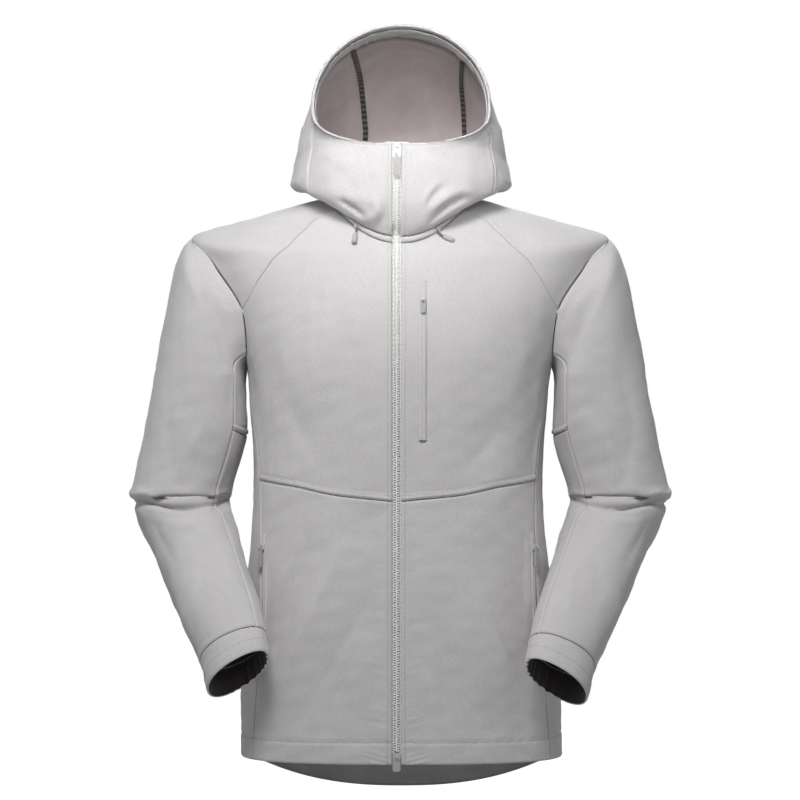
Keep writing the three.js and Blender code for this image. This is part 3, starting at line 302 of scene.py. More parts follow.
# outX, outZ, inX, inZ, midY, front, back, lean, squareOut, squareIn
sleeve = np.array([
    [260, -63, 185.5, -222, 4, 70, 74, 0, 2.2, 2.5],
    [271, -93, 185.5, -240, 4, 71, 75, 0, 2.2, 2.6],
    [279.5, -135, 185, -256, 5, 71, 75, 0, 2.2, 2.6],
    [288, -185, 184, -272, 6, 70, 73, 0, 2.2, 2.6],
    [297, -232, 184, -288, 7, 68, 70, 0, 2.2, 2.5],
    [305, -272, 188, -308, 8, 66, 67, 0, 2.2, 2.3],
    [313, -312, 194.5, -330, 9, 64, 64, 0, 2.2, 2.2],
    [320, -345, 200.5, -349, 10, 64.5, 63, 2, 2.2, 2.2],
    [323, -361, 203, -360, 10, 63.5, 63, 4, 2.2, 2.2],
    [319.5, -368, 205, -366.5, 9, 57.5, 59, 7, 2.2, 2.2],
    [317.5, -384, 202, -380, 7, 61, 62.5, 14, 2.2, 2.2],
    [301, -416, 193, -407, -10, 57, 60, 24, 2.2, 2.2],
    [278, -461, 180.5, -444, -47, 51, 52, 32, 2.2, 2.2],
    [255, -506, 165, -483, -87, 45, 45, 34, 2.2, 2.2],
    [232, -550, 154.5, -519, -120, 41, 41, 34, 2.2, 2.2],
    [222.5, -581, 150, -543, -139, 38, 38, 34, 2.2, 2.2],
])
armholeRow, shoulderRow, neckRow, hoodTop = 8, 12, 16, 8
gussetRow, elbowRow, cuffSeamRow, cuffRow = 5, 10, 15, 16
leftReach = np.array([-7, -9, -8])     # the left cuff reaches a little further in and down

# Seams seen from the front, as x and z on the +X half
raglanFront = [(78.6, -18.5), (95, -29), (116, -47.7), (136, -68.8), (152.6, -86), (165.5, -105), (176, -124),
               (186, -140)]
armholeFront = [(235.5, -68.5), (212, -98), (194, -124), (186, -140), (182, -168), (180.3, -190)]
raglanBack = [(66, 3), (92, -14), (116, -36), (138, -62), (158, -92), (174, -120), (187, -146)]
armholeBack = [(237, -68), (217, -98), (200, -125), (187, -146), (183.5, -172), (182.5, -193)]
sideFront = [(181.4, -203), (175, -243), (166, -290), (160, -340), (159, -380), (160, -430), (163, -500),
             (170, -580), (176, -650), (178, -669)]
waistSeam = [(159, -342), (120, -347), (70, -357), (zipX + zipHalf, -364)]


# Surfaces
def catmull(a, b, c, d, t):
    return 0.5 * (2 * b + (c - a) * t + (2 * a - 5 * b + 4 * c - d) * t ** 2
                  + (3 * b - a - 3 * c + d) * t ** 3)


def padEnds(table):
    table = np.asarray(table, float)
    return np.concatenate([[2 * table[0] - table[1]], table, [2 * table[-1] - table[-2]]])


def along(table, t):
    padded = padEnds(table)
    i = np.clip(np.floor(t).astype(int), 0, len(table) - 2)
    share = (t - i)[..., None]
    return catmull(padded[i], padded[i + 1], padded[i + 2], padded[i + 3], share)


def superEllipse(angle, square):
    s, c = np.sin(angle), np.cos(angle)
    k = (np.abs(s) ** square + np.abs(c) ** square) ** (-1 / square)
    return s * k, c * k


# A point of a body or hood ring. The angle is 0 at the front, a quarter turn at +X and half a turn behind.
def ringPoint(table, angle, t):
    angle, t = np.broadcast_arrays(np.asarray(angle, float), np.asarray(t, float))
    r = along(table, t)
    front = np.cos(angle) > 0
    s, c = superEllipse(angle, np.where(front, r[..., 8], r[..., 9]))
    share = np.abs(c)
    endY = np.where(front, r[..., 4], r[..., 6])
    endZ = np.where(front, r[..., 5], r[..., 7])
    return np.stack([
        r[..., 0] + r[..., 1] * s,
        r[..., 2] + (endY - r[..., 2]) * share,
        r[..., 3] + (endZ - r[..., 3]) * share ** r[..., 10]], -1)


def bodyPoint(angle, t):
    return ringPoint(body, angle, t)


def hoodPoint(angle, t):
    return ringPoint(hood, angle, t)


bandBulge = 0.8     # how far the neck band's middle stands out


def bandPoint(angle, t):
    angle, t = np.broadcast_arrays(np.asarray(angle, float), np.asarray(t, float))
    low, high = bodyPoint(angle, np.full_like(t, neckRow)), hoodPoint(angle, np.zeros_like(t))
    out = np.stack([np.sin(angle), -np.cos(angle), np.zeros_like(angle)], -1)
    return low + (high - low) * t[..., None] + out * bandBulge * np.sin(math.pi * t)[..., None]


def unit(v):
    return v / np.maximum(np.linalg.norm(v, axis=-1, keepdims=True), 1e-9)


def normalOf(point, a, t, flip=1):
    e = 0.002
    return unit(np.cross(point(a + e, t) - point(a - e, t), point(a, t + e) - point(a, t - e))) * flip


# The angle and row of the body where it shows at x, z from the front or from behind
def findPlace(x, z, low, high):
    a, t = np.meshgrid(np.linspace(low, high, 41), np.linspace(0, neckRow, 61), indexing="ij")
    p = bodyPoint(a, t)
    k = np.argmin((p[..., 0] - x) ** 2 + (p[..., 2] - z) ** 2)
    a, t = a.flat[k], t.flat[k]
    e = 1e-4
    for _ in range(12):
        p, pa, pt = bodyPoint(a, t), bodyPoint(a + e, t), bodyPoint(a, t + e)
        xa, za, xt, zt = (pa[0] - p[0]) / e, (pa[2] - p[2]) / e, (pt[0] - p[0]) / e, (pt[2] - p[2]) / e
        det = xa * zt - xt * za
        if abs(det) < 1e-6:
            break
        a += float(np.clip(((x - p[0]) * zt - (z - p[2]) * xt) / det, -0.1, 0.1))
        t += float(np.clip(((z - p[2]) * xa - (x - p[0]) * za) / det, -0.3, 0.3))
        a, t = min(max(a, low), high), min(max(t, 0), neckRow)
    return (a, t)


def frontAt(spot):
    return findPlace(*spot, 0, quarter)


def backAt(spot):
    return findPlace(*spot, quarter, math.pi)


# A seam through places of the body, as a function of the share of its real length
def seamCurve(places):
    places = np.asarray(places, float)
    fine = np.linspace(0, len(places) - 1, 600)
    spots = along(places, fine)
    steps = np.linalg.norm(np.diff(bodyPoint(spots[:, 0], spots[:, 1]), axis=0), axis=-1)
    run = np.concatenate([[0], np.cumsum(steps)])

    def at(s):
        s = np.asarray(s, float) * run[-1]
        return np.stack([np.interp(s, run, spots[:, 0]), np.interp(s, run, spots[:, 1])], -1)
    return at


def straight(a, b):
    a, b = np.asarray(a, float), np.asarray(b, float)
    return lambda s: a + (b - a) * np.asarray(s, float)[..., None]


def back(curve):
    return lambda s: curve(1 - np.asarray(s, float))


# Curves end to end, each with its share of the whole
def chain(*parts):
    total = sum(share for _, share in parts)

    def at(s):
        s = np.asarray(s, float) * total
        out = np.zeros(s.shape + (2,))
        start = 0
        for k, (curve, share) in enumerate(parts):
            inside = (s >= start) if k == len(parts) - 1 else (s >= start) & (s < start + share)
            out[inside] = curve(np.clip((s[inside] - start) / share, 0, 1))
            start += share
        return out
    return at


# Places spread between four edges that share their corners
def spread(bottom, top, left, right):
    ends = np.array([0.0, 1.0])
    b0, b1, t0, t1 = *bottom(ends), *top(ends)

    def at(u, v):
        b, t, l, r = bottom(u)[:, None], top(u)[:, None], left(v)[None], right(v)[None]
        u, v = u[:, None, None], v[None, :, None]
        return ((1 - v) * b + v * t + (1 - u) * l + u * r
                - (1 - u) * (1 - v) * b0 - u * (1 - v) * b1 - (1 - u) * v * t0 - u * v * t1)
    return at


def angleAtX(point, t, x):
    t = np.asarray(t, float)
    low, high = np.full(t.shape, -0.5), np.full(t.shape, 0.5)
    for _ in range(40):
        mid = (low + high) / 2
        less = point(mid, t)[..., 0] < x
        low, high = np.where(less, mid, low), np.where(less, high, mid)
    return (low + high) / 2


# Seams of the +X half, as places on the body
armholeTop, armholeBottom = (quarter, shoulderRow), (quarter, armholeRow)
frontCurve = [armholeTop, *map(frontAt, armholeFront), armholeBottom]
backCurve = [armholeTop, *map(backAt, armholeBack), armholeBottom]
junction, sidePoint = 4, 6
topFront = seamCurve(frontCurve[:junction + 1])
lowFront = seamCurve(frontCurve[junction:sidePoint + 1])
underFront = seamCurve(frontCurve[sidePoint:])
topBack = seamCurve(backCurve[:junction + 1])
lowBack = seamCurve(backCurve[junction:sidePoint + 1])
underBack = seamCurve(backCurve[sidePoint:])
neckFrontEnd = (frontAt(raglanFront[0])[0], neckRow)
neckBackEnd = (backAt(raglanBack[0])[0], neckRow)
raglanFrontLine = seamCurve(
    [frontCurve[junction], *map(frontAt, raglanFront[1:-1][::-1]), neckFrontEnd])
raglanBackLine = seamCurve(
    [backCurve[junction], *map(backAt, raglanBack[1:-1][::-1]), neckBackEnd])
sidePlaces = [frontAt(p) for p in sideFront[1:-1]]
waistIndex = 3
hemFrontAngle = frontAt(sideFront[-1])[0]
sideFrontHigh = seamCurve([frontCurve[sidePoint], *sidePlaces[:waistIndex]])
sideFrontLow = seamCurve([*sidePlaces[waistIndex - 1:], (hemFrontAngle, 0)])
sideBackAngle = math.pi - hemFrontAngle
sideBackRows = [6.6, float(sideFrontHigh(1.0)[1]), 2.5, 0]
sideBack = [(sideBackAngle, row) for row in sideBackRows]
sideBackHigh = seamCurve([backCurve[sidePoint], *sideBack[:2]])
sideBackLow = seamCurve(sideBack[1:])
armholeCurve = chain((topFront, 8), (lowFront, 4), (underFront, 4), (back(underBack), 4), (back(lowBack), 4),
                     (back(topBack), 8))


def sleeveRing(turn, angle, row):
    place = armholeCurve(np.mod(angle / (2 * math.pi), 1))
    atArmhole = bodyPoint(turn * place[..., 0], place[..., 1])
    r = sleeve[np.clip(row - 1, 0, len(sleeve) - 1)]
    out, front = np.cos(angle) > 0, np.sin(angle) > 0
    s, c = superEllipse(angle, np.where(out, r[..., 8], r[..., 9]))
    depth = np.where(front, r[..., 5], r[..., 6]) * s
    lean = np.radians(r[..., 7])
    reach = np.clip((row - elbowRow) / (cuffRow - elbowRow), 0, None) * (1 if turn > 0 else 0)
    ring = np.stack([
        turn * ((r[..., 0] + r[..., 2]) / 2 + (r[..., 0] - r[..., 2]) / 2 * c + reach * leftReach[0]),
        r[..., 4] - depth * np.cos(lean) + reach * leftReach[1],
        (r[..., 1] + r[..., 3]) / 2 + (r[..., 1] - r[..., 3]) / 2 * c + depth * np.sin(lean)
        + reach * leftReach[2]], -1)
    return np.where((row <= 0)[..., None], atArmhole, ring)


def sleevePoint(turn):
    def at(angle, t):
        angle, t = np.broadcast_arrays(np.asarray(angle, float), np.asarray(t, float))
        i = np.clip(np.floor(t).astype(int), 0, cuffRow - 1)
        rows = [sleeveRing(turn, angle, np.clip(i + k, 0, cuffRow)) for k in (-1, 0, 1, 2)]
        b, c = rows[1:3]
        a = np.where((i > 0)[..., None], rows[0], 2 * b - c)
        d = np.where((i + 2 <= cuffRow)[..., None], rows[3], 2 * c - b)
        return catmull(a, b, c, d, (t - i)[..., None])
    return at


print("surfaces and seams worked out")


# Cloth: a grid of places on a surface, moved out by its seams, its folds and its own unevenness
clothSet = {
    "thick": 1.6, "step": 3.3, "gap": 0.14, "near": (0.6, 1.2, 2.0, 3.0, 4.1, 5.1, 6.2, 7.6, 9.6),
    "uneven": 0.75, "slowWave": 62, "quickWave": 24, "quickShare": 0.45, "flatEdge": 12,
}
grids = {}


def smooth(x, low, high):
    s = np.clip((x - low) / (high - low), 0, 1)
    return s * s * (3 - 2 * s)


def dent(d, at, width):
    return np.exp(-((d - at) / width) ** 2)


# How far the cloth stands proud beside each kind of edge, by the distance to that edge
edgeForms = {
    "plain": lambda d: 0 * d,
    "seam": lambda d: 0.3 * (1 - smooth(d, 4.5, 7.5)) - 1.25 * dent(d, 0, 1.0),
    "under": lambda d: -1.3 * dent(d, 0, 1.3),
    "lapped": lambda d: 1.0 * (1 - smooth(d, 5.0, 6.6)) - 1.3 * dent(d, 0, 0.9) - 0.5 * dent(d, 7.0, 1.0),
    "front": lambda d: 0.35 * (1 - smooth(d, 8, 11)) - 1.5 * dent(d, 0, 1.0) - 0.55 * dent(d, 4.8, 0.9),
    "hem": lambda d: 0.5 * (1 - smooth(d, 23, 25.5)) - 1.0 * dent(d, 0, 1.1) - 1.4 * dent(d, 25.6, 1.2),
    "cuffEdge": lambda d: -0.9 * dent(d, 0, 1.2) + 0.3 * (1 - smooth(d, 14, 18)),
    "rim": lambda d: -0.8 * dent(d, 0, 1.0) - 0.45 * dent(d, 3.0, 0.7),
}


# A smooth uneven field: a few slow waves in fixed, seeded directions
def wander(points, length, seed, count=9):
    source = np.random.default_rng(seed)
    total = np.zeros(points.shape[:-1])
    for _ in range(count):
        way = source.normal(size=3)
        way *= 2 * math.pi / (length * source.uniform(0.7, 1.7) * np.linalg.norm(way))
        total += np.sin(points @ way + source.uniform(0, 2 * math.pi))
    return total / math.sqrt(count)


# Folds are drawn in a view: front and back as x and z, side as y and z, mirrored for the -X half
foldColumns = ("h1", "v1", "h2", "v2", "h3", "v3", "width", "depth", "skew")
# A fold is a soft swell with a narrower crest beside its middle
crestSet = {"aside": 0.4, "width": 0.35, "height": 0.6}
turnsAway = (-0.15, 0.25)     # it dies out where the surface turns away from its view


def foldLift(points, normal, table, view, turn=1):
    across = {"front": 0, "back": 0, "side": 1}[view]
    facing = {"front": -normal[..., 1], "back": normal[..., 1], "side": turn * normal[..., 0]}[view]
    mask = smooth(facing, *turnsAway)
    spot = np.stack([points[..., across] * (turn if view != "side" else 1), points[..., 2]], -1)
    lift = np.zeros(points.shape[:-1])
    share = np.linspace(0, 1, 15)
    for row in table:
        f = dict(zip(foldColumns, row))
        a, b, c = (np.array([f["h" + k], f["v" + k]]) for k in "123")
        s = share[:, None]
        line = a * (1 - s) * (1 - 2 * s) + 4 * b * s * (1 - s) + c * s * (2 * s - 1)
        box = (np.abs(spot[..., 0] - line[:, 0].mean()) < np.ptp(line[:, 0]) / 2 + 4 * f["width"]) & (
            np.abs(spot[..., 1] - line[:, 1].mean()) < np.ptp(line[:, 1]) / 2 + 4 * f["width"])
        p = spot[box]
        if not len(p):
            continue
        best, ends, side = np.full(len(p), 1e9), np.zeros(len(p)), np.zeros(len(p))
        for k in range(len(line) - 1):
            start, step = line[k], line[k + 1] - line[k]
            t = np.clip(((p - start) @ step) / (step @ step), 0, 1)
            off = p - (start + t[:, None] * step)
            gap = np.hypot(off[:, 0], off[:, 1])
            near = gap < best
            best[near] = gap[near]
            ends[near] = (k + t[near]) / (len(line) - 1)
            side[near] = np.sign(step[0] * off[near, 1] - step[1] * off[near, 0])
        width = f["width"] * (1 + f["skew"] * side)
        taper = np.sin(np.clip(ends, 0.001, 0.999) * math.pi) ** 0.7
        crest = np.exp(-((best * side / f["width"] - crestSet["aside"]) / crestSet["width"]) ** 2)
        lift[box] += f["depth"] * (np.exp(-(best / width) ** 2) + crestSet["height"] * crest) * taper
    return lift * mask


def stopsFor(length, fineStart, fineEnd, step):
    head = [clothSet["gap"], *clothSet["near"]] if fineStart else [clothSet["gap"]]
    tail = [clothSet["gap"], *clothSet["near"]] if fineEnd else [clothSet["gap"]]
    limit = length * 0.45
    head, tail = [h for h in head if h < limit], [h for h in tail if h < limit]
    middle = length - head[-1] - tail[-1]
    count = max(2, round(middle / step))
    inner = [head[-1] + middle * k / count for k in range(1, count)]
    return np.array(head + inner + [length - h for h in reversed(tail)]) / length


def meshFrom(name, verts, faces, materials, uvs=None, shade=True):
    mesh = bpy.data.meshes.new(name)
    mesh.from_pydata([tuple(v) for v in verts], [], faces)
    if uvs is not None:
        layer = mesh.uv_layers.new(name="clothUv")
        layer.data.foreach_set("uv", np.asarray(uvs, np.float32).ravel())
    for material in materials:
        mesh.materials.append(material)
    mesh.polygons.foreach_set("use_smooth", [shade] * len(mesh.polygons))
    mesh.update()
    piece = bpy.data.objects.new(name, mesh)
    bpy.context.scene.collection.objects.link(piece)
    return piece


# How far each point of a grid lies from its left edge and from its bottom edge, along the grid
def runsOf(grid):
    du = np.linalg.norm(np.diff(grid, axis=0), axis=-1)
    dv = np.linalg.norm(np.diff(grid, axis=1), axis=-1)
    return np.pad(np.cumsum(du, 0), ((1, 0), (0, 0))), np.pad(np.cumsum(dv, 1), ((0, 0), (1, 0)))


def gridObject(name, outer, runU, runV, materials, thick, flip, ring=False):
    n, m = outer.shape[:2]
    count = n if ring else n - 1
    i, j = np.meshgrid(np.arange(count), np.arange(m - 1), indexing="ij")
    i, j = i.ravel(), j.ravel()
    nextI = (i + 1) % n if ring else i + 1
    quads = np.stack([i * m + j, nextI * m + j, nextI * m + j + 1, i * m + j + 1], -1)
    uvGrid = np.stack([runU, runV], -1) * mm
    if ring:
        wrap = runU[-1] + np.linalg.norm(outer[0] - outer[-1], axis=-1)
        uvGrid = np.concatenate([uvGrid, np.stack([wrap, runV[0]], -1)[None] * mm])
    uv = np.stack([uvGrid[i, j], uvGrid[i + 1, j], uvGrid[i + 1, j + 1], uvGrid[i, j + 1]], 1)
    if flip:
        quads, uv = quads[:, ::-1], uv[:, ::-1]
    piece = meshFrom(name, outer.reshape(-1, 3) * mm, quads.tolist(), materials, uv)
    shell = piece.modifiers.new("thickness", "SOLIDIFY")
    shell.thickness = thick * mm
    shell.offset = -1
    shell.material_offset = 1 if len(materials) > 1 else 0
    return piece


leastFlat = 0.0101     # narrow strips are cut a little over 10 mm wide and their edges turned under


# Makes one piece of cloth. edges names the form of its left, right, bottom and top edge.
def clothPiece(name, point, place, edges, turn=1, *, replace, lift=0.0, normalFlip=1, relief=None,
               ring=False, uneven=clothSet["uneven"], materials=(face, backing), thick=clothSet["thick"],
               extra=None, step=clothSet["step"], slotName="shell_cloth"):
    rough = place(np.linspace(0, 1, 9), np.linspace(0, 1, 9))
    p = point(turn * rough[..., 0], rough[..., 1])
    wide = np.linalg.norm(np.diff(p, axis=0), axis=-1).sum(0).mean()
    tall = np.linalg.norm(np.diff(p, axis=1), axis=-1).sum(1).mean()
    shaped = [form != "plain" for form in edges]
    u = (np.arange(round(wide / step)) / round(wide / step) if ring
         else stopsFor(wide, shaped[0], shaped[1], step))
    v = stopsFor(tall, shaped[2], shaped[3], step)
    spots = place(u, v)
    a, t = turn * spots[..., 0], spots[..., 1]
    base, normal = point(a, t), normalOf(point, a, t, normalFlip)
    runU, runV = runsOf(base)
    gaps = {"l": runU, "r": runU[-1] - runU, "b": runV, "t": runV[:, -1:] - runV}
    height = np.full(base.shape[:2], float(lift))
    for side, form in zip("lrbt", edges):
        if not (ring and side in "lr"):
            height += edgeForms[form](gaps[side])
    inside = smooth(np.minimum(np.minimum(gaps["l"], gaps["r"]) if not ring else gaps["b"] + 99,
                               np.minimum(gaps["b"], gaps["t"])), 0, clothSet["flatEdge"])
    height += uneven * inside * (wander(base * (1, 1, 0.8), clothSet["slowWave"], 3)
                                 + clothSet["quickShare"] * wander(base, clothSet["quickWave"], 5))
    if relief is not None:
        height += relief(base, normal, spots[..., 1])
    if extra is not None:
        height += extra(base, gaps, spots)
    outer = base + normal * height[..., None]
    across = np.cross(outer[1:, :-1] - outer[:-1, :-1], outer[:-1, 1:] - outer[:-1, :-1])
    flip = (across * normal[:-1, :-1]).sum() < 0
    piece = gridObject(name, outer, runU, runV, materials, thick, flip, ring)
    area = np.linalg.norm(across, axis=-1).sum() * mm * mm
    width, length = float(runU[-1].max()) * mm, float(runV[:, -1].max()) * mm
    if ring:
        width += float(np.linalg.norm(base[0] - base[-1], axis=-1).max()) * mm
        area *= len(base) / (len(base) - 1)
    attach(piece, jacketBody)
    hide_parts(*replace)
    width, length = max(width, leastFlat), max(length, leastFlat)
    grids[name] = {"outer": outer, "normal": normal, "gaps": gaps, "ring": ring,
                   "cut": (round(width * 1000), round(length * 1000), round(area, 4))}


def sideName(turn):
    return "left" if turn > 0 else "right"


# The -X half is built as a mirrored +X half, so a table drawn on both halves is mirrored for it
def ownSide(table, turn):
    if turn > 0:
        return table
    return [(-a, b, -c, d, -e, f, w, h, -k) for a, b, c, d, e, f, w, h, k in table]


# Folds of fronts, back, sides and shoulders. The first of each list are the largest, as in the solids.
bodyFolds = {
    "front": [
        (-150, -150, -120, -205, -95, -270, 26, 1.6, 0),
        (-130, -240, -105, -285, -85, -335, 22, -1.3, 0),
        (-52, -408, -98, -500, -156, -633, 22, 3.0, 0),
        (-24, -470, -70, -560, -108, -640, 22, -2.4, 0),
        (-95, -400, -132, -480, -170, -560, 17, -2.0, 0),
        (-70, -430, -112, -520, -150, -600, 8, 1.3, 0.2),
        (-40, -500, -84, -585, -120, -655, 9, 1.2, -0.2),
        (-110, -415, -140, -470, -165, -530, 7, 1.1, 0.2),
        (150, -160, 128, -215, 110, -280, 24, 1.5, 0),
        (120, -250, 95, -295, 60, -330, 20, -1.3, 0),
        (62, -430, 104, -530, 152, -620, 22, 2.8, 0),
        (30, -500, 66, -580, 100, -645, 22, -2.0, 0),
        (100, -400, 138, -470, 166, -560, 16, -1.8, 0),
        (-172, -205, -165, -260, -155, -325, 11, -1.6, 0.3),
        (170, -195, 163, -255, 152, -318, 10, -1.6, -0.3),
        (-60, -95, -50, -140, -46, -190, 18, 0.7, 0),
        (64, -92, 60, -140, 70, -190, 18, 0.7, 0),
        (-146, -375, -150, -440, -150, -520, 8, -1.3, 0),
        (143, -380, 144, -440, 142, -520, 8, -1.2, 0),
        (-38, -520, -62, -590, -84, -650, 9, 1.1, 0.3),
        (-100, -430, -120, -500, -150, -560, 7, 1.0, 0.3),
        (24, -560, 48, -612, 66, -655, 9, 1.1, 0),
        (92, -470, 118, -540, 140, -585, 8, 0.9, -0.3),
        (110, -34, 142, -62, 168, -104, 14, -1.2, 0),
        (-110, -34, -142, -62, -168, -104, 14, -1.2, 0),
        (150, -38, 190, -62, 214, -88, 12, 0.9, 0),
        (-150, -38, -190, -62, -214, -88, 12, 0.9, 0),
    ],
    "back": [
        (-150, -150, -95, -235, -40, -300, 26, 2.6, 0),
        (150, -160, 100, -240, 36, -310, 24, 2.4, 0),
        (-165, -200, -130, -290, -60, -360, 20, -2.2, 0),
        (165, -205, 128, -300, 70, -372, 20, -2.2, 0),
        (-120, -372, -20, -392, 90, -376, 14, -2.0, 0),
        (-95, -398, 10, -420, 120, -404, 16, 1.8, 0),
        (-60, -440, -100, -540, -140, -650, 24, 2.4, 0),
        (50, -450, 96, -550, 130, -660, 24, 2.3, 0),
        (0, -460, -6, -560, 6, -680, 26, -1.6, 0),
        (-30, -60, -10, -110, -14, -170, 20, 1.2, 0),
        (-130, -345, -60, -362, 20, -356, 8, 1.1, 0.3),
        (-176, -230, -150, -262, -110, -280, 8, -1.4, 0),
        (176, -226, 146, -258, 104, -272, 8, -1.4, 0),
        (40, -70, 64, -110, 110, -132, 12, 0.9, 0),
    ],
    "side": [
        (-30, -230, -12, -300, -22, -370, 14, -1.8, 0),
        (28, -240, 20, -320, 34, -400, 15, 1.5, 0),
        (-40, -420, -10, -520, -20, -630, 18, 1.5, 0),
        (24, -440, 36, -540, 20, -650, 16, -1.3, 0),
    ],
}


foldsFromZip = (8, 30)     # folds grow to their full depth between these distances from the zip
sideFoldsFrom = 14         # and those of a side panel by this distance from its seams


# The folds of the body at a place, dying out towards the front zip
def bodyRelief(turn):
    def relief(base, normal, t):
        lift = sum(foldLift(base, normal, ownSide(bodyFolds[view], turn), view, turn)
                   for view in ("front", "back"))
        return lift * smooth(np.abs(base[..., 0] - zipX), *foldsFromZip)
    return relief


# Fine puckers that the stitching draws in beside the front zip, slanting up and out
puckerSet = {"pitch": 7.5, "slant": 0.28, "height": 0.42, "top": (330, 420), "in": (4, 9), "out": (16, 44)}


def zipPuckers(base, gaps, spots):
    d = gaps["r"]
    run = (base[..., 2] - puckerSet["slant"] * d) / puckerSet["pitch"]
    ripple = np.sin(run * 2 * math.pi + 1.4 * np.sin(run * 1.7)) * (0.6 + 0.4 * np.sin(run * 0.83 + 1))
    low = smooth(-base[..., 2], *puckerSet["top"])
    beside = smooth(d, *puckerSet["in"]) * (1 - smooth(d, *puckerSet["out"]))
    return puckerSet["height"] * ripple * low * beside


# Chest pocket zip, up and down the wearer's left chest. The chest lies flatter under it.
pocketSet = {"x": 26.4, "half": 4.6, "top": -109, "bottom": -293, "lift": 1.9, "thick": 0.9,
             "sink": 0.7, "reach": 9, "fade": (2, 12)}


def chestRelief(base, gaps, spots):
    beside = dent(base[..., 0], pocketSet["x"], pocketSet["reach"])
    near, far = pocketSet["fade"]
    level = smooth(base[..., 2], pocketSet["bottom"] - far, pocketSet["bottom"] - near) * (
        1 - smooth(base[..., 2], pocketSet["top"] + near, pocketSet["top"] + far))
    return zipPuckers(base, gaps, spots) - pocketSet["sink"] * beside * level


def frontEdge(low, high, turn):
    def at(s):
        row = low + (high - low) * np.asarray(s, float)
        return np.stack([turn * angleAtX(bodyPoint, row, zipX + turn * zipHalf), row], -1)
    return at


waistEdgeRow = frontAt(waistSeam[-1])[1]
print("cloth tools ready")


def addFronts(turn):
    side = sideName(turn)
    chestSide = chain((back(sideFrontHigh), 6), (back(lowFront), 4), (raglanFrontLine, 6))
    chestEdge = frontEdge(waistEdgeRow, neckRow, turn)
    waist = seamCurve([sideFrontHigh(1.0), *map(frontAt, waistSeam[1:-1]), chestEdge(0.0)])
    neck = straight(neckFrontEnd, chestEdge(1.0))
    clothPiece("chest_" + side, bodyPoint, spread(waist, neck, chestSide, chestEdge),
               ("seam", "front", "lapped", "under"), turn, relief=bodyRelief(turn),
               extra=chestRelief if turn > 0 else zipPuckers, replace=["front_" + side])
    lowEdge = frontEdge(0, waistEdgeRow, turn)
    hem = straight((hemFrontAngle, 0), lowEdge(0.0))
    clothPiece("lower_front_shell_" + side, bodyPoint, spread(hem, waist, back(sideFrontLow), lowEdge),
               ("seam", "front", "hem", "under"), turn, relief=bodyRelief(turn),
               extra=zipPuckers, replace=["lower_front_" + side])


def addSides(turn):
    side = sideName(turn)
    top = chain((underFront, 4), (back(underBack), 4))
    hem = straight((hemFrontAngle, 0), (sideBackAngle, 0))
    frontSeam = back(chain((sideFrontHigh, 6), (sideFrontLow, 8)))
    backSeam = back(chain((sideBackHigh, 6), (sideBackLow, 8)))
    outward = np.array([turn, 0.0, 0.0])

    def sideFold(base, gaps, spots):
        return foldLift(base, outward + 0 * base, bodyFolds["side"], "side", turn) * smooth(
            np.minimum(gaps["l"], gaps["r"]), 0, sideFoldsFrom)
    clothPiece("side_shell_" + side, bodyPoint, spread(hem, top, frontSeam, backSeam),
               ("seam", "seam", "hem", "seam"), turn, relief=bodyRelief(turn), extra=sideFold,
               replace=["side_" + side])


def addShoulder(turn):
    side = sideName(turn)
    inner = chain((raglanFrontLine, 6), (straight(neckFrontEnd, neckBackEnd), 4), (back(raglanBackLine), 6))
    outer = chain((back(topFront), 8), (topBack, 8))

    def place(u, v):
        v = v[None, :, None]
        return inner(u)[:, None] * (1 - v) + outer(u)[:, None] * v
    clothPiece("shoulder_shell_" + side, bodyPoint, place, ("plain", "plain", "seam", "seam"), turn,
               relief=bodyRelief(turn), replace=["shoulder_" + side])


# A place of the +X half, seen on the -X half
def mirrored(place):
    return np.stack([2 * math.pi - place[..., 0], place[..., 1]], -1)


def addBack():
    up = back(chain((back(raglanBackLine), 6), (lowBack, 4), (sideBackHigh, 6), (sideBackLow, 8)))
    hem, neck = (straight(up(end), mirrored(up(end))) for end in (0.0, 1.0))
    # Its inner face is the plainer grey knit, darkened with painted shade
    clothPiece("back_shell", bodyPoint, spread(hem, neck, up, lambda s: mirrored(up(s))),
               ("seam", "seam", "hem", "under"), relief=bodyRelief(1), materials=[face, backInsidePaintedShade],
               replace=["back"])


for turn in (1, -1):
    addFronts(turn)
    addSides(turn)
    addShoulder(turn)
addBack()
print("body cloth made")


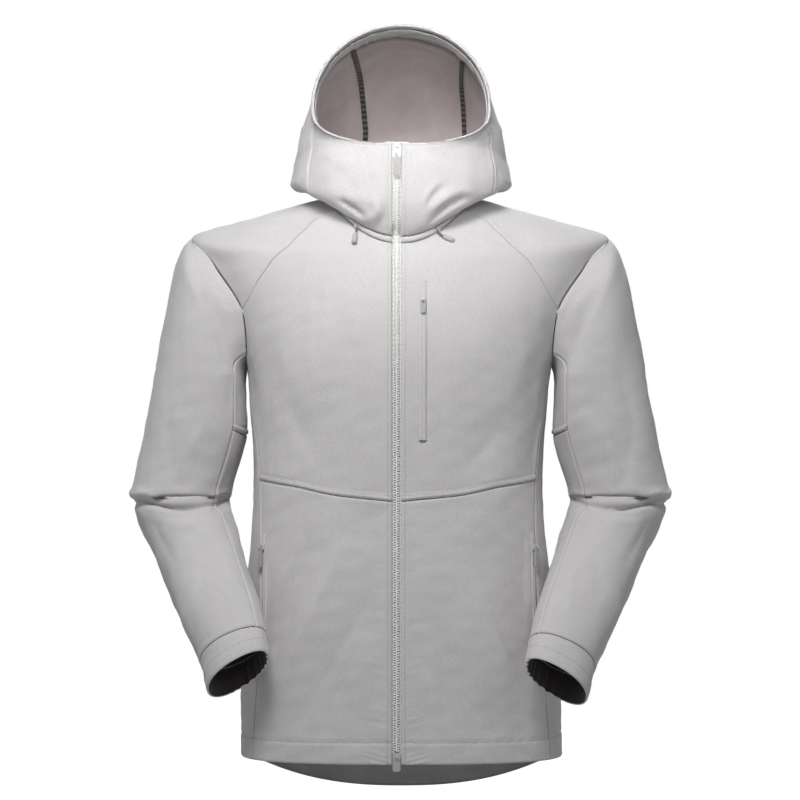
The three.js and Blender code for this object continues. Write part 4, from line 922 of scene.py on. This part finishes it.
# Sleeves. The angle is 0 on the outer edge, a quarter turn at the front and half a turn on the inner edge.
armFolds = {
    "front": [
        (226, -112, 206, -150, 196, -215, 22, -4.5, 0),
        (300, -180, 296, -235, 300, -290, 22, 1.6, 0),
        (214, -260, 238, -300, 262, -345, 16, 1.8, 0),
        (268, -270, 262, -320, 248, -352, 18, -1.6, 0),
        (206, -392, 262, -396, 310, -386, 14, 2.0, 0),
        (270, -420, 256, -470, 236, -520, 16, 1.5, 0),
        (212, -402, 226, -436, 224, -480, 12, -1.6, 0),
        (230, -96, 205, -124, 187, -158, 6, -6.5, -0.35),
        (222, -92, 198, -119, 184, -142, 8, 3.2, 0),
        (187, -158, 181, -195, 178, -245, 8, -4.4, -0.3),
        (202, -364, 262, -375, 321, -361, 3.4, -6.0, 0.35),
        (204, -356, 262, -366, 319, -352, 6.5, 2.6, 0),
        (203, -366, 214, -372, 222, -374, 5, -3.0, 0),
        (196, -420, 196, -460, 186, -500, 9, 1.2, 0),
        (250, -205, 268, -250, 276, -300, 9, -1.1, 0),
        (292, -380, 280, -410, 258, -440, 7, -1.2, 0.3),
        (232, -384, 240, -400, 262, -412, 6, -1.4, 0),
    ],
    "back": [
        (236, -110, 212, -150, 196, -205, 20, -3.6, 0),
        (300, -160, 270, -220, 240, -262, 20, 2.0, 0),
        (296, -330, 262, -350, 216, -342, 12, -2.6, 0),
        (300, -385, 258, -402, 204, -388, 12, -2.6, 0),
        (288, -412, 250, -426, 200, -414, 12, 2.0, 0),
        (270, -450, 240, -480, 200, -500, 14, 1.6, 0),
        (306, -352, 262, -370, 210, -362, 7, 2.2, 0.3),
        (290, -300, 258, -318, 222, -308, 8, 1.4, 0.3),
        (236, -96, 208, -130, 190, -170, 7, -2.6, 0.2),
    ],
    "side": [
        (-40, -130, 0, -200, 34, -262, 20, 1.4, 0),
        (30, -120, 10, -200, -26, -290, 16, -1.2, 0),
        (-56, -362, -10, -372, 44, -352, 4, -2.8, 0.2),
        (-58, -352, -10, -360, 40, -340, 7, 1.8, 0),
        (50, -330, 20, -392, -30, -420, 10, 1.8, 0),
        (48, -380, 14, -420, -40, -470, 10, -1.5, 0),
    ],
}
underFrom, underTo = 12 / 32, 20 / 32     # the under strip, as shares of the way round
foldsFromRow = 1.2                        # sleeve folds grow to full depth by this row
gatherSet = {"from": 1.22 * math.pi, "pleats": 26, "height": 1.5, "sink": 1.2, "rise": (2, 14)}


def sleeveGrid(fromShare, toShare, fromRow, toRow):
    def place(u, v):
        a = 2 * math.pi * (fromShare + (toShare - fromShare) * u)[:, None]
        t = (fromRow + (toRow - fromRow) * v)[None, :]
        a, t = np.broadcast_arrays(a, t)
        return np.stack([a, t], -1)
    return place


# Small pleats on the inner side of the cuff, where its elastic draws the cloth in
def cuffGather(base, gaps, spots):
    a = spots[..., 0]
    inner = smooth(np.cos(a - gatherSet["from"]), 0.2, 0.75)
    ripple = np.sin(a * gatherSet["pleats"] + 1.1 * np.sin(a * 5)) * (0.7 + 0.3 * np.sin(a * 9))
    return inner * (gatherSet["height"] * ripple - gatherSet["sink"]) * smooth(gaps["b"], *gatherSet["rise"])


def addSleeve(turn):
    side = sideName(turn)
    point = sleevePoint(turn)
    # Sleeves and cuffs take the dark knit of painted shade as their inner face
    around = dict(normalFlip=turn, materials=[face, sleeveInsidePaintedShade])

    def armRelief(base, normal, t):
        return smooth(t, 0, foldsFromRow) * sum(
            foldLift(base, normal, table, view, turn) for view, table in armFolds.items())
    for name, grid, low, high in (
            ("sleeve", (underTo - 1, underFrom, 0, cuffSeamRow), "seam", "seam"),
            ("gusset", (underFrom, underTo, 0, gussetRow), "seam", "lapped"),
            ("under_sleeve", (underFrom, underTo, gussetRow, cuffSeamRow), "under", "seam")):
        clothPiece(name + "_shell_" + side, point, sleeveGrid(*grid), ("seam", "seam", low, high),
                   relief=armRelief, replace=[name + "_" + side], **around)
    clothPiece("cuff_shell_" + side, point, sleeveGrid(0, 1, cuffSeamRow, cuffRow),
               ("plain", "plain", "under", "cuffEdge"), ring=True, extra=cuffGather, step=2.2,
               replace=["cuff_" + side], slotName="cuff_cloth", **around)


for turn in (1, -1):
    addSleeve(turn)
print("sleeves made")


# Neck band, collar and hood
bandSet = {"low": 0.03, "high": 0.92, "lift": 0.3, "step": 1.6, "swell": 0.7}
allPlain = ("plain",) * 4
collarSeam = [(0, 62), (1, 58), (2, 54), (3, 54), (4, 56), (5, 58), (6, 60), (8, 62)]
crownSeam = {"left": [(0, 142), (2, 141), (4, 140), (6, 137), (8, 133)],
             "right": [(0, 160), (2, 160), (4, 159), (6, 152), (8, 144)]}
rimWidth = 9
hoodFolds = {
    "front": [
        (-72, -10, -57, -22, -42, -33, 3.2, -5.5, 0.3),
        (-36, -10, -24, -24, -38, -38, 6.5, 3.6, 0),
        (-20, -14, -16, -30, -26, -44, 7, -2.0, 0),
        (-80, 2, -60, -8, -38, -6, 9, 1.6, 0),
        (84, -10, 58, -19, 32, -42, 4.0, -5.0, -0.3),
        (70, -3, 52, -10, 36, -24, 4.5, 2.8, 0),
        (56, 4, 42, -4, 30, -20, 3.6, -2.6, 0),
        (44, 6, 34, -4, 26, -18, 4.0, 2.2, 0),
        (88, -2, 74, 0, 58, 6, 6, 1.8, 0),
        (-92, 52, -70, 36, -40, 34, 12, 1.0, 0),
        (92, 58, 104, 70, 112, 82, 4, -2.6, 0),
        (84, 52, 98, 58, 110, 66, 4.5, 1.8, 0),
        (-98, 56, -104, 30, -100, 8, 10, -1.4, 0),
        (100, 44, 104, 22, 98, 4, 10, 1.2, 0),
        (-20, 40, -40, 20, -60, 8, 14, 0.8, 0),
        (16, 38, 40, 22, 66, 14, 14, 0.8, 0),
    ],
    "side": [
        (-80, 60, -40, 40, 10, 36, 10, -2.0, 0),
        (-70, 84, -30, 70, 30, 74, 13, 1.6, 0),
        (-60, 20, -20, 8, 40, 18, 9, 2.2, 0),
        (-50, 6, -10, -2, 50, 8, 6, -2.0, 0),
        (-60, 120, -10, 118, 50, 128, 15, 1.3, 0),
    ],
    "back": [
        (-80, 40, 0, 26, 80, 38, 12, -2.4, 0),
        (-70, 62, 0, 52, 74, 60, 14, 2.0, 0),
        (-60, 22, 0, 14, 64, 20, 7, 2.0, 0),
        (-50, 110, 0, 100, 56, 112, 16, -1.2, 0),
    ],
}


def seamAngle(table):
    rowsOf, angles = np.array(table).T
    return lambda row: np.radians(np.interp(row, rowsOf, angles))


collarAngle = seamAngle(collarSeam)
crownAngle = {side: seamAngle(table) for side, table in crownSeam.items()}


# The hood row that lies a given distance from the edge of the face opening
def rowFromRim(angle, distance):
    steps = np.arange(hoodTop, 4, -0.01)
    run = np.zeros(np.shape(angle))
    row = np.full(np.shape(angle), float(hoodTop))
    last = hoodPoint(angle, row)
    done = np.zeros(np.shape(angle), bool)
    for r in steps[1:]:
        point = hoodPoint(angle, np.full(np.shape(angle), r))
        run += np.linalg.norm(point - last, axis=-1)
        last = point
        row = np.where(done, row, r)
        done |= run >= distance
    return row


def hoodGrid(fromSeam, toSeam, toRim):
    def place(u, v):
        top = np.full(u.shape, float(hoodTop))
        if toRim:
            top = rowFromRim((1 - u) * fromSeam(hoodTop) + u * toSeam(hoodTop), rimWidth)
        row = top[:, None] * v[None, :]
        return np.stack([(1 - u)[:, None] * fromSeam(row) + u[:, None] * toSeam(row), row], -1)
    return place


def hoodRelief(turn):
    def relief(base, normal, t):
        return sum(foldLift(base, normal, ownSide(table, turn) if view != "side" else table, view, turn)
                   for view, table in hoodFolds.items())
    return relief


def addCollarAndHood(turn):
    side = sideName(turn)
    edgeX = zipX + turn * zipHalf

    def zipEdge(row):
        return turn * angleAtX(hoodPoint, row, edgeX)
    bandEdge = float(turn * angleAtX(bandPoint, np.array(0.0), edgeX))

    def bandGrid(u, v):
        a = (bandEdge + (math.pi - bandEdge) * u)[:, None]
        t = (bandSet["low"] + (bandSet["high"] - bandSet["low"]) * v)[None, :]
        return np.stack(np.broadcast_arrays(a, t), -1)
    clothPiece("neck_band_shell_" + side, bandPoint, bandGrid, allPlain, turn, lift=bandSet["lift"],
               uneven=0.15, step=bandSet["step"], replace=["neck_band_" + side], slotName="cuff_cloth",
               extra=lambda base, gaps, spots: bandSet["swell"] * np.sin(math.pi * spots[..., 1]) ** 0.6)
    clothPiece("collar_shell_" + side, hoodPoint, hoodGrid(zipEdge, collarAngle, False),
               ("front", "seam", "under", "rim"), turn, relief=hoodRelief(turn), replace=["collar_" + side],
               step=2.6)
    clothPiece("hood_side_shell_" + side, hoodPoint, hoodGrid(collarAngle, crownAngle[side], True),
               ("seam", "seam", "under", "seam"), turn, relief=hoodRelief(turn),
               replace=["hood_side_" + side])


for turn in (1, -1):
    addCollarAndHood(turn)
clothPiece("hood_centre_shell", hoodPoint,
           hoodGrid(crownAngle["left"], lambda row: 2 * math.pi - crownAngle["right"](row), True),
           ("seam", "seam", "under", "seam"), relief=hoodRelief(1), replace=["hood_centre"])
print("hood made")


# Rim channel round the face opening, the facing inside it and the bindings over the hood's seams
rimSet = {"lift": 0.2, "thick": 3.0, "step": 1.1, "round": 0.9, "edge": 4.5, "pinch": 0.12,
          "groove": 0.5, "grooveAt": 3.2}
facingSet = {"edge": 11, "top": 34, "thick": 1.0, "from": math.radians(64), "lift": -3.6, "step": 1.8,
             "loose": 0.9, "gather": 0.9, "gathers": 40, "seamAt": 11}
bindingSet = {"wide": 7, "from": 0.35, "lift": -3.0, "thick": 0.6, "step": 1.6, "ridge": 0.35, "ridgeAt": 1.3}


def rimGrid(u, v):
    low, high = float(collarAngle(hoodTop)), 2 * math.pi - float(collarAngle(hoodTop))
    a = low + (high - low) * u
    start = rowFromRim(a, rimWidth)
    row = start[:, None] * (1 - v)[None, :] + hoodTop * v[None, :]
    return np.stack([np.broadcast_to(a[:, None], row.shape), row], -1)


def rimRound(base, gaps, spots):
    d = np.minimum(gaps["b"], gaps["t"])
    pinch = rimSet["pinch"] * wander(base, 9, 11)
    swell = rimSet["round"] * np.sqrt(np.clip(d / rimSet["edge"], 0, 1))
    groove = rimSet["groove"] * dent(gaps["b"], rimSet["grooveAt"], 0.6)
    return swell - groove + pinch * smooth(d, 0, 2)


clothPiece("hood_rim_shell", hoodPoint, rimGrid, ("plain", "plain", "seam", "plain"), lift=rimSet["lift"],
           uneven=0.1, extra=rimRound, thick=rimSet["thick"], step=rimSet["step"], replace=["hood_rim"],
           slotName="cuff_cloth", materials=[face])


def facingGrid(u, v):
    a = facingSet["from"] + (2 * math.pi - 2 * facingSet["from"]) * u
    share = np.sin(math.pi * u) ** 2
    drop = facingSet["edge"] + (facingSet["top"] - facingSet["edge"]) * share
    drop = drop + 1.6 * np.sin(a * 9 + 0.6) + 1.0 * np.sin(a * 23)
    low, high = rowFromRim(a, rimWidth + 1 + drop), rowFromRim(a, rimWidth + 1)
    row = low[:, None] * (1 - v)[None, :] + high[:, None] * v[None, :]
    return np.stack([np.broadcast_to(a[:, None], row.shape), row], -1)


def facingGather(base, gaps, spots):
    a = spots[..., 0]
    ripple = np.sin(a * facingSet["gathers"] + 2 * np.sin(a * 7)) * (0.5 + 0.5 * np.sin(a * 5.3 + 2))
    free = smooth(gaps["t"], 0, 10)
    seam = dent(gaps["b"], facingSet["seamAt"], 1.4) * smooth(gaps["t"], 8, 14)
    return (facingSet["gather"] * ripple - facingSet["loose"]) * free - seam


clothPiece("facing_shell", hoodPoint, facingGrid, allPlain, lift=facingSet["lift"], uneven=0.5,
           extra=facingGather, thick=facingSet["thick"], step=facingSet["step"], replace=["hood_facing"],
           slotName="cuff_cloth", materials=[face])


def addBinding(turn):
    side = sideName(turn)
    crown, low = crownAngle[side], bindingSet["from"]
    top = float(rowFromRim(np.array([crown(hoodTop)]), rimWidth + facingSet["top"] + 3)[0])

    def place(u, v):
        row = low + (top - low) * v
        width = bindingSet["wide"] / along(hood, row)[..., 1]
        a = crown(row)[None, :] + (u[:, None] - 0.5) * width[None, :]
        return np.stack(np.broadcast_arrays(a, row[None, :]), -1)

    def sewn(base, gaps, spots):
        return -bindingSet["ridge"] * sum(dent(gaps[edge], bindingSet["ridgeAt"], 0.5) for edge in "lr")
    clothPiece("binding_" + side, hoodPoint, place, allPlain, turn, lift=bindingSet["lift"], uneven=0.2,
               thick=bindingSet["thick"], step=bindingSet["step"], replace=["seam_tape_" + side],
               slotName="seam_tape", materials=[binding], extra=sewn)


for turn in (1, -1):
    addBinding(turn)
print("rim, facing and bindings made")


# Front zip: a tape behind each front, a chain of moulded teeth between them
zipSet = {"inner": 0.4, "width": 14, "depth": 3.0, "bandDepth": 4.7, "thick": 0.9}
toothSet = {"start": 1.5, "pitch": 2.9, "long": 4.0, "tall": 1.55, "deep": 2.3, "chamfer": 0.3,
            "over": 0.75}
sliderStops = {"top": (36.5, 48.5), "bottom": (-664.5, -653.0)}


# Places on the front at a given x, running up from the hem over the neck band to the collar top
def frontPath(x):
    rows, normals = [], []
    for point, low, high, deep in ((bodyPoint, 0, neckRow - 1, zipSet["depth"]),
                                   (bodyPoint, neckRow - 0.5, neckRow, zipSet["bandDepth"]),
                                   (hoodPoint, 0, 0.5, zipSet["bandDepth"]),
                                   (hoodPoint, 1, hoodTop, zipSet["depth"])):
        t = np.linspace(low, high, max(2, round((high - low) * 8)))
        a = angleAtX(point, t, x)
        normals.append(normalOf(point, a, t))
        rows.append(point(a, t) - normals[-1] * deep)
    return np.concatenate(rows), np.concatenate(normals)


def addZipTape(turn):
    side = sideName(turn)
    across = np.linspace(zipSet["inner"], zipSet["width"], 9)
    outer = np.stack([frontPath(zipX + turn * d)[0] for d in across])
    runU, runV = runsOf(outer)
    piece = gridObject("zip_tape_cloth_" + side, outer, runU, runV, [tapeCloth],
                       zipSet["thick"], turn < 0)
    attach(piece, jacketBody)
    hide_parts("zip_tape_" + side)


# One closed block with a smaller front face, turned to its own frame
def blockAt(centre, across, up, out, size, chamfer):
    corners = []
    for depth, inset in ((-0.5, 0), (0.5 - chamfer / size[2], 0), (0.5, chamfer)):
        for sx, sy in ((-1, -1), (1, -1), (1, 1), (-1, 1)):
            corners.append(centre + across * sx * (size[0] / 2 - inset) + up * sy * (size[1] / 2 - inset)
                           + out * depth * size[2])
    faces = [(3, 2, 1, 0), (8, 9, 10, 11)]
    for level in (0, 4):
        faces += [(level + k, level + (k + 1) % 4, level + 4 + (k + 1) % 4, level + 4 + k) for k in range(4)]
    return corners, faces


def evenly(path, normals, pitch, start=0.0):
    run = np.concatenate([[0], np.cumsum(np.linalg.norm(np.diff(path, axis=0), axis=-1))])
    s = np.arange(start, run[-1], pitch)

    def read(values, where):
        return np.stack([np.interp(where, run, values[:, k]) for k in range(3)], -1)
    return read(path, s), unit(read(normals, s)), unit(read(path, s + 0.5) - read(path, s - 0.5))


def addTeeth(turn):
    path, normals = frontPath(zipX)
    start = toothSet["start"] + (toothSet["pitch"] / 2 if turn < 0 else 0)
    at, out, up = evenly(path, normals, toothSet["pitch"], start)
    verts, faces = [], []
    for spot, n, t in zip(at, out, up):
        if any(low < spot[2] < high for low, high in sliderStops.values()):
            continue
        across = unit(np.cross(t, n))
        across *= turn * np.sign(across[0])
        centre = spot + across * (toothSet["long"] / 2 - toothSet["over"]) + n * (toothSet["deep"] / 2 + 0.1)
        corners, quads = blockAt(centre, across * turn, t, n,
                                 (toothSet["long"], toothSet["tall"], toothSet["deep"]), toothSet["chamfer"])
        faces += [tuple(len(verts) + k for k in quad) for quad in quads]
        verts += corners
    piece = meshFrom("zip_teeth_" + sideName(turn), np.array(verts) * mm, faces, [nylon], shade=False)
    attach(piece, jacketBody)


for turn in (1, -1):
    addZipTape(turn)
    addTeeth(turn)
print("front zip made")


# Pocket zips, each closed under two folded lips that meet in a slit
lipSet = {"slit": 0.7, "slitWide": 0.6, "roll": 0.25, "rollAt": 2.3, "rollWide": 1.2, "slant": 0.12}


def slitRelief(base, gaps, spots):
    aside = np.abs(gaps["l"] - gaps["r"]) / 2
    return (lipSet["roll"] * dent(aside, lipSet["rollAt"], lipSet["rollWide"])
            - lipSet["slit"] * dent(aside, 0, lipSet["slitWide"]))


def chestZipPlace(u, v):
    low, high = (frontAt((pocketSet["x"], pocketSet[end]))[1] for end in ("bottom", "top"))
    slant = lipSet["slant"] * (u - 0.5)
    t = low + (high + slant[:, None] - low) * v[None, :]
    x = pocketSet["x"] + (2 * u - 1)[:, None] * pocketSet["half"]
    return np.stack([angleAtX(bodyPoint, t, np.broadcast_to(x, t.shape)), t], -1)


handSet = {"fromRow": 4.5, "toRow": 2.65, "near": 3, "far": 10}
sideLine = sideFrontLow(np.linspace(0, 1, 200))


def handZipPlace(u, v):
    t = handSet["toRow"] + (handSet["fromRow"] - handSet["toRow"]) * v
    seam = np.interp(-t, -sideLine[:, 1], sideLine[:, 0])
    perRadian = np.linalg.norm(bodyPoint(seam, t) - bodyPoint(seam - 0.01, t), axis=-1) / 0.01
    away = handSet["far"] + (handSet["near"] - handSet["far"]) * u
    a = seam[None, :] - away[:, None] / perRadian[None, :]
    return np.stack(np.broadcast_arrays(a, t[None, :]), -1)


pocketForm = dict(lift=pocketSet["lift"], thick=pocketSet["thick"], uneven=0.08, step=0.9, extra=slitRelief,
                  slotName="zip_tape", materials=[face])
lipEdges = ("under", "under", "plain", "plain")
clothPiece("chest_zip_lips", bodyPoint, chestZipPlace, lipEdges, relief=bodyRelief(1), replace=["chest_zip"],
           **pocketForm)
for turn in (1, -1):
    clothPiece("hand_zip_lips_" + sideName(turn), bodyPoint, handZipPlace, lipEdges, turn,
               relief=bodyRelief(turn), replace=["hand_zip_" + sideName(turn)], **pocketForm)
print("pocket zips made")


# Tabs of doubled cloth on the neck band, from which the cords come out
tabSet = {"left": 0.52, "right": -0.61, "row": 0.4, "lift": 2.5, "size": (6.5, 7.0, 1.2)}


def addCordTab(side):
    a, t = np.array(tabSet[side]), np.array(tabSet["row"])
    n = normalOf(bandPoint, a, t)
    level = unit(n * np.array([1, 1, 0]))
    centre = bandPoint(a, t) + level * tabSet["lift"]
    across = np.cross(np.array([0, 0, 1.0]), level)
    wide, tall, thick = tabSet["size"]
    ring, rows = 24, [(-0.5, 0.86), (-0.3, 1.0), (0.3, 1.0), (0.5, 0.86)]
    verts = []
    for depth, share in rows:
        for k in range(ring):
            c, s = math.cos(2 * math.pi * k / ring), math.sin(2 * math.pi * k / ring)
            p = (abs(c) ** 5 + abs(s) ** 5) ** -0.2 * share
            verts.append(centre + across * c * p * wide / 2 + np.array([0, 0, s * p * tall / 2])
                         + level * depth * thick)
    faces = [tuple(range(ring))[::-1], tuple(range(3 * ring, 4 * ring))]
    faces += [(r * ring + k, r * ring + (k + 1) % ring, (r + 1) * ring + (k + 1) % ring, (r + 1) * ring + k)
              for r in range(3) for k in range(ring)]
    flat = np.zeros((sum(map(len, faces)), 2))
    piece = meshFrom("cord_tab_cloth_" + side, np.array(verts) * mm, faces, [face], flat)
    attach(piece, jacketBody)
    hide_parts("cord_tab_" + side)


for side in sides:
    addCordTab(side)


# Hard parts of the CAD model, with their edges rounded
hardParts = {
    enamel: ["main_slider", "hem_slider", "chest_slider", "hand_slider_left", "hand_slider_right"],
    tabPlastic: ["main_pull", "hem_pull", "chest_pull", "hand_pull_left", "hand_pull_right",
                 "cord_end_left", "cord_end_right"],
}
bevelSet = {"width": 0.22, "segments": 2, "angle": 35}


def finishPart(part, material):
    part.data.materials.clear()
    part.data.materials.append(material)
    bevel = part.modifiers.new("roundedEdges", "BEVEL")
    bevel.width = bevelSet["width"] * mm
    bevel.segments = bevelSet["segments"]
    bevel.limit_method = "ANGLE"
    bevel.angle_limit = math.radians(bevelSet["angle"])
    bevel.harden_normals = True


for material, names in hardParts.items():
    for name in names:
        finishPart(bpy.data.objects[name], material)
print("hard parts finished")


# Rows of stitches: short raised threads at an even pitch along a grid's edge
stitchSet = {"pitch": 3.1, "long": 2.1, "wide": 0.62, "proud": 0.16, "ring": 5, "sunk": 0.2, "bend": 0.28}
# Pieces with their edge and the distance from it. A name that ends in a low line stands for both sides.
stitchRows = [
    ("chest_", "r", 4.8), ("lower_front_shell_", "r", 4.8), ("collar_shell_", "l", 4.8), ("chest_", "b", 2.2),
    ("chest_", "b", 6.0), ("lower_front_shell_", "b", 25.6), ("side_shell_", "b", 25.6),
    ("back_shell", "b", 25.6), ("hood_rim_shell", "b", 1.2), ("hood_rim_shell", "b", 3.3),
    ("collar_shell_", "t", 3.0), ("cuff_shell_", "t", 16.0), ("gusset_shell_", "t", 3.0),
]


# The line on a grid that runs at a distance from one of its edges
def edgeLine(grid, side, distance):
    gaps = grid["gaps"][side]
    outer, normal = grid["outer"], grid["normal"]
    if side in "lr":
        outer, normal, gaps = (np.swapaxes(x, 0, 1) for x in (outer, normal, gaps))
    points, ways = [], []
    for line, way, gap in zip(outer, normal, gaps):
        order = np.argsort(gap)
        if gap.max() < distance:
            continue
        points.append([np.interp(distance, gap[order], line[order, k]) for k in range(3)])
        ways.append([np.interp(distance, gap[order], way[order, k]) for k in range(3)])
    if grid["ring"]:
        points.append(points[0])
        ways.append(ways[0])
    return np.array(points), np.array(ways)


def stitchesOn(path, normals, verts, faces):
    at, out, ahead = evenly(path, normals, stitchSet["pitch"], stitchSet["pitch"] / 2)
    ring, half, thick = stitchSet["ring"], stitchSet["long"] / 2, stitchSet["wide"] / 2
    for spot, n, t in zip(at, out, ahead):
        across = np.cross(t, n)
        start = len(verts)
        verts.append(spot - t * half - n * stitchSet["sunk"])
        for end in (-stitchSet["bend"], stitchSet["bend"]):
            for k in range(ring):
                c, s = math.cos(2 * math.pi * k / ring), math.sin(2 * math.pi * k / ring)
                verts.append(spot + t * end * stitchSet["long"] + across * c * thick
                             + n * (s * thick + stitchSet["proud"]))
        verts.append(spot + t * half - n * stitchSet["sunk"])
        for k in range(ring):
            a, b = start + 1 + k, start + 1 + (k + 1) % ring
            faces += [(start, b, a), (a, b, b + ring, a + ring), (a + ring, b + ring, start + 1 + 2 * ring)]


verts, faces = [], []
for name, side, distance in stitchRows:
    for end in sides if name.endswith("_") else ("",):
        stitchesOn(*edgeLine(grids[name + end], side, distance), verts, faces)
stitches = meshFrom("stitching", np.array(verts) * mm, faces, [thread])
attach(stitches, jacketBody)
print("stitches sewn:", len(faces) // (3 * stitchSet["ring"]))


# Floor, light and finish
lightSet = {
    "world": 0.2,
    # name, place, aim, size, spread in radians, power
    "areas": [
        ("keyLight", (-0.2, -1.15, 0.8), (0, -0.1, -0.2), 0.5, 2.6, 13),
        ("hoodLight", (0.05, -1.4, 0.16), (0, 0.05, 0.11), 0.12, 0.5, 0.22),
        ("leftLight", (-1.5, -0.35, 0.0), (0, 0, -0.4), 0.7, 2.6, 1.2),
        ("rightLight", (1.5, -0.35, 0.0), (0, 0, -0.4), 0.7, 2.6, 1.2),
        ("backLight", (0.3, 1.6, 1.2), (0, 0, -0.2), 1.1, 2.6, 14),
    ],
}
floorSet = {"level": -1.6, "half": 9.0}


def addLight(name, at, aim, size, spread, power):
    data = bpy.data.lights.new(name, "AREA")
    data.shape = "DISK"
    data.size = size
    data.spread = spread
    data.energy = power
    lamp = bpy.data.objects.new(name, data)
    lamp.location = at
    way = np.array(aim) - np.array(at)
    lamp.rotation_euler = (math.acos(-way[2] / np.linalg.norm(way)), 0, math.atan2(-way[0], way[1]))
    bpy.context.scene.collection.objects.link(lamp)


def addFloor(s):
    h = s["half"]
    corners = [(-h, -h, s["level"]), (h, -h, s["level"]), (h, h, s["level"]), (-h, h, s["level"])]
    # White paper. It shines only to the camera, so that it doesn't light the cloth from below.
    material, tree, shader = newMaterial("paperFloor", {
        "Base Color": hexToLinear("#f4f4f4"), "Roughness": 0.9, "Emission Color": (1, 1, 1, 1)})
    seen = addNode(tree, "ShaderNodeLightPath")
    tree.links.new(seen.outputs["Is Camera Ray"], shader.inputs["Emission Strength"])
    floor = meshFrom("paper_floor", corners, [(0, 1, 2, 3)], [material])


def addWorld(strength):
    world = bpy.data.worlds.new("studio")
    world.use_nodes = True
    tree = world.node_tree
    tree.nodes.clear()
    seen = addNode(tree, "ShaderNodeLightPath")
    soft = addNode(tree, "ShaderNodeBackground", inputs={"Color": (1, 1, 1, 1), "Strength": strength})
    white = addNode(tree, "ShaderNodeBackground", inputs={"Color": (1, 1, 1, 1), "Strength": 1.0})
    mix = addNode(tree, "ShaderNodeMixShader", inputs={
        0: seen.outputs["Is Camera Ray"], 1: soft.outputs[0], 2: white.outputs[0]})
    addNode(tree, "ShaderNodeOutputWorld", inputs={"Surface": mix.outputs[0]})
    bpy.context.scene.world = world


bpy.context.scene.view_settings.view_transform = "Standard"
for light in lightSet["areas"]:
    addLight(*light)
addFloor(floorSet)
addWorld(lightSet["world"])
print("floor and lights set")

cuts = {name: grid["cut"] for name, grid in grids.items()}
print("flat sizes in mm and area in square metres:", cuts)
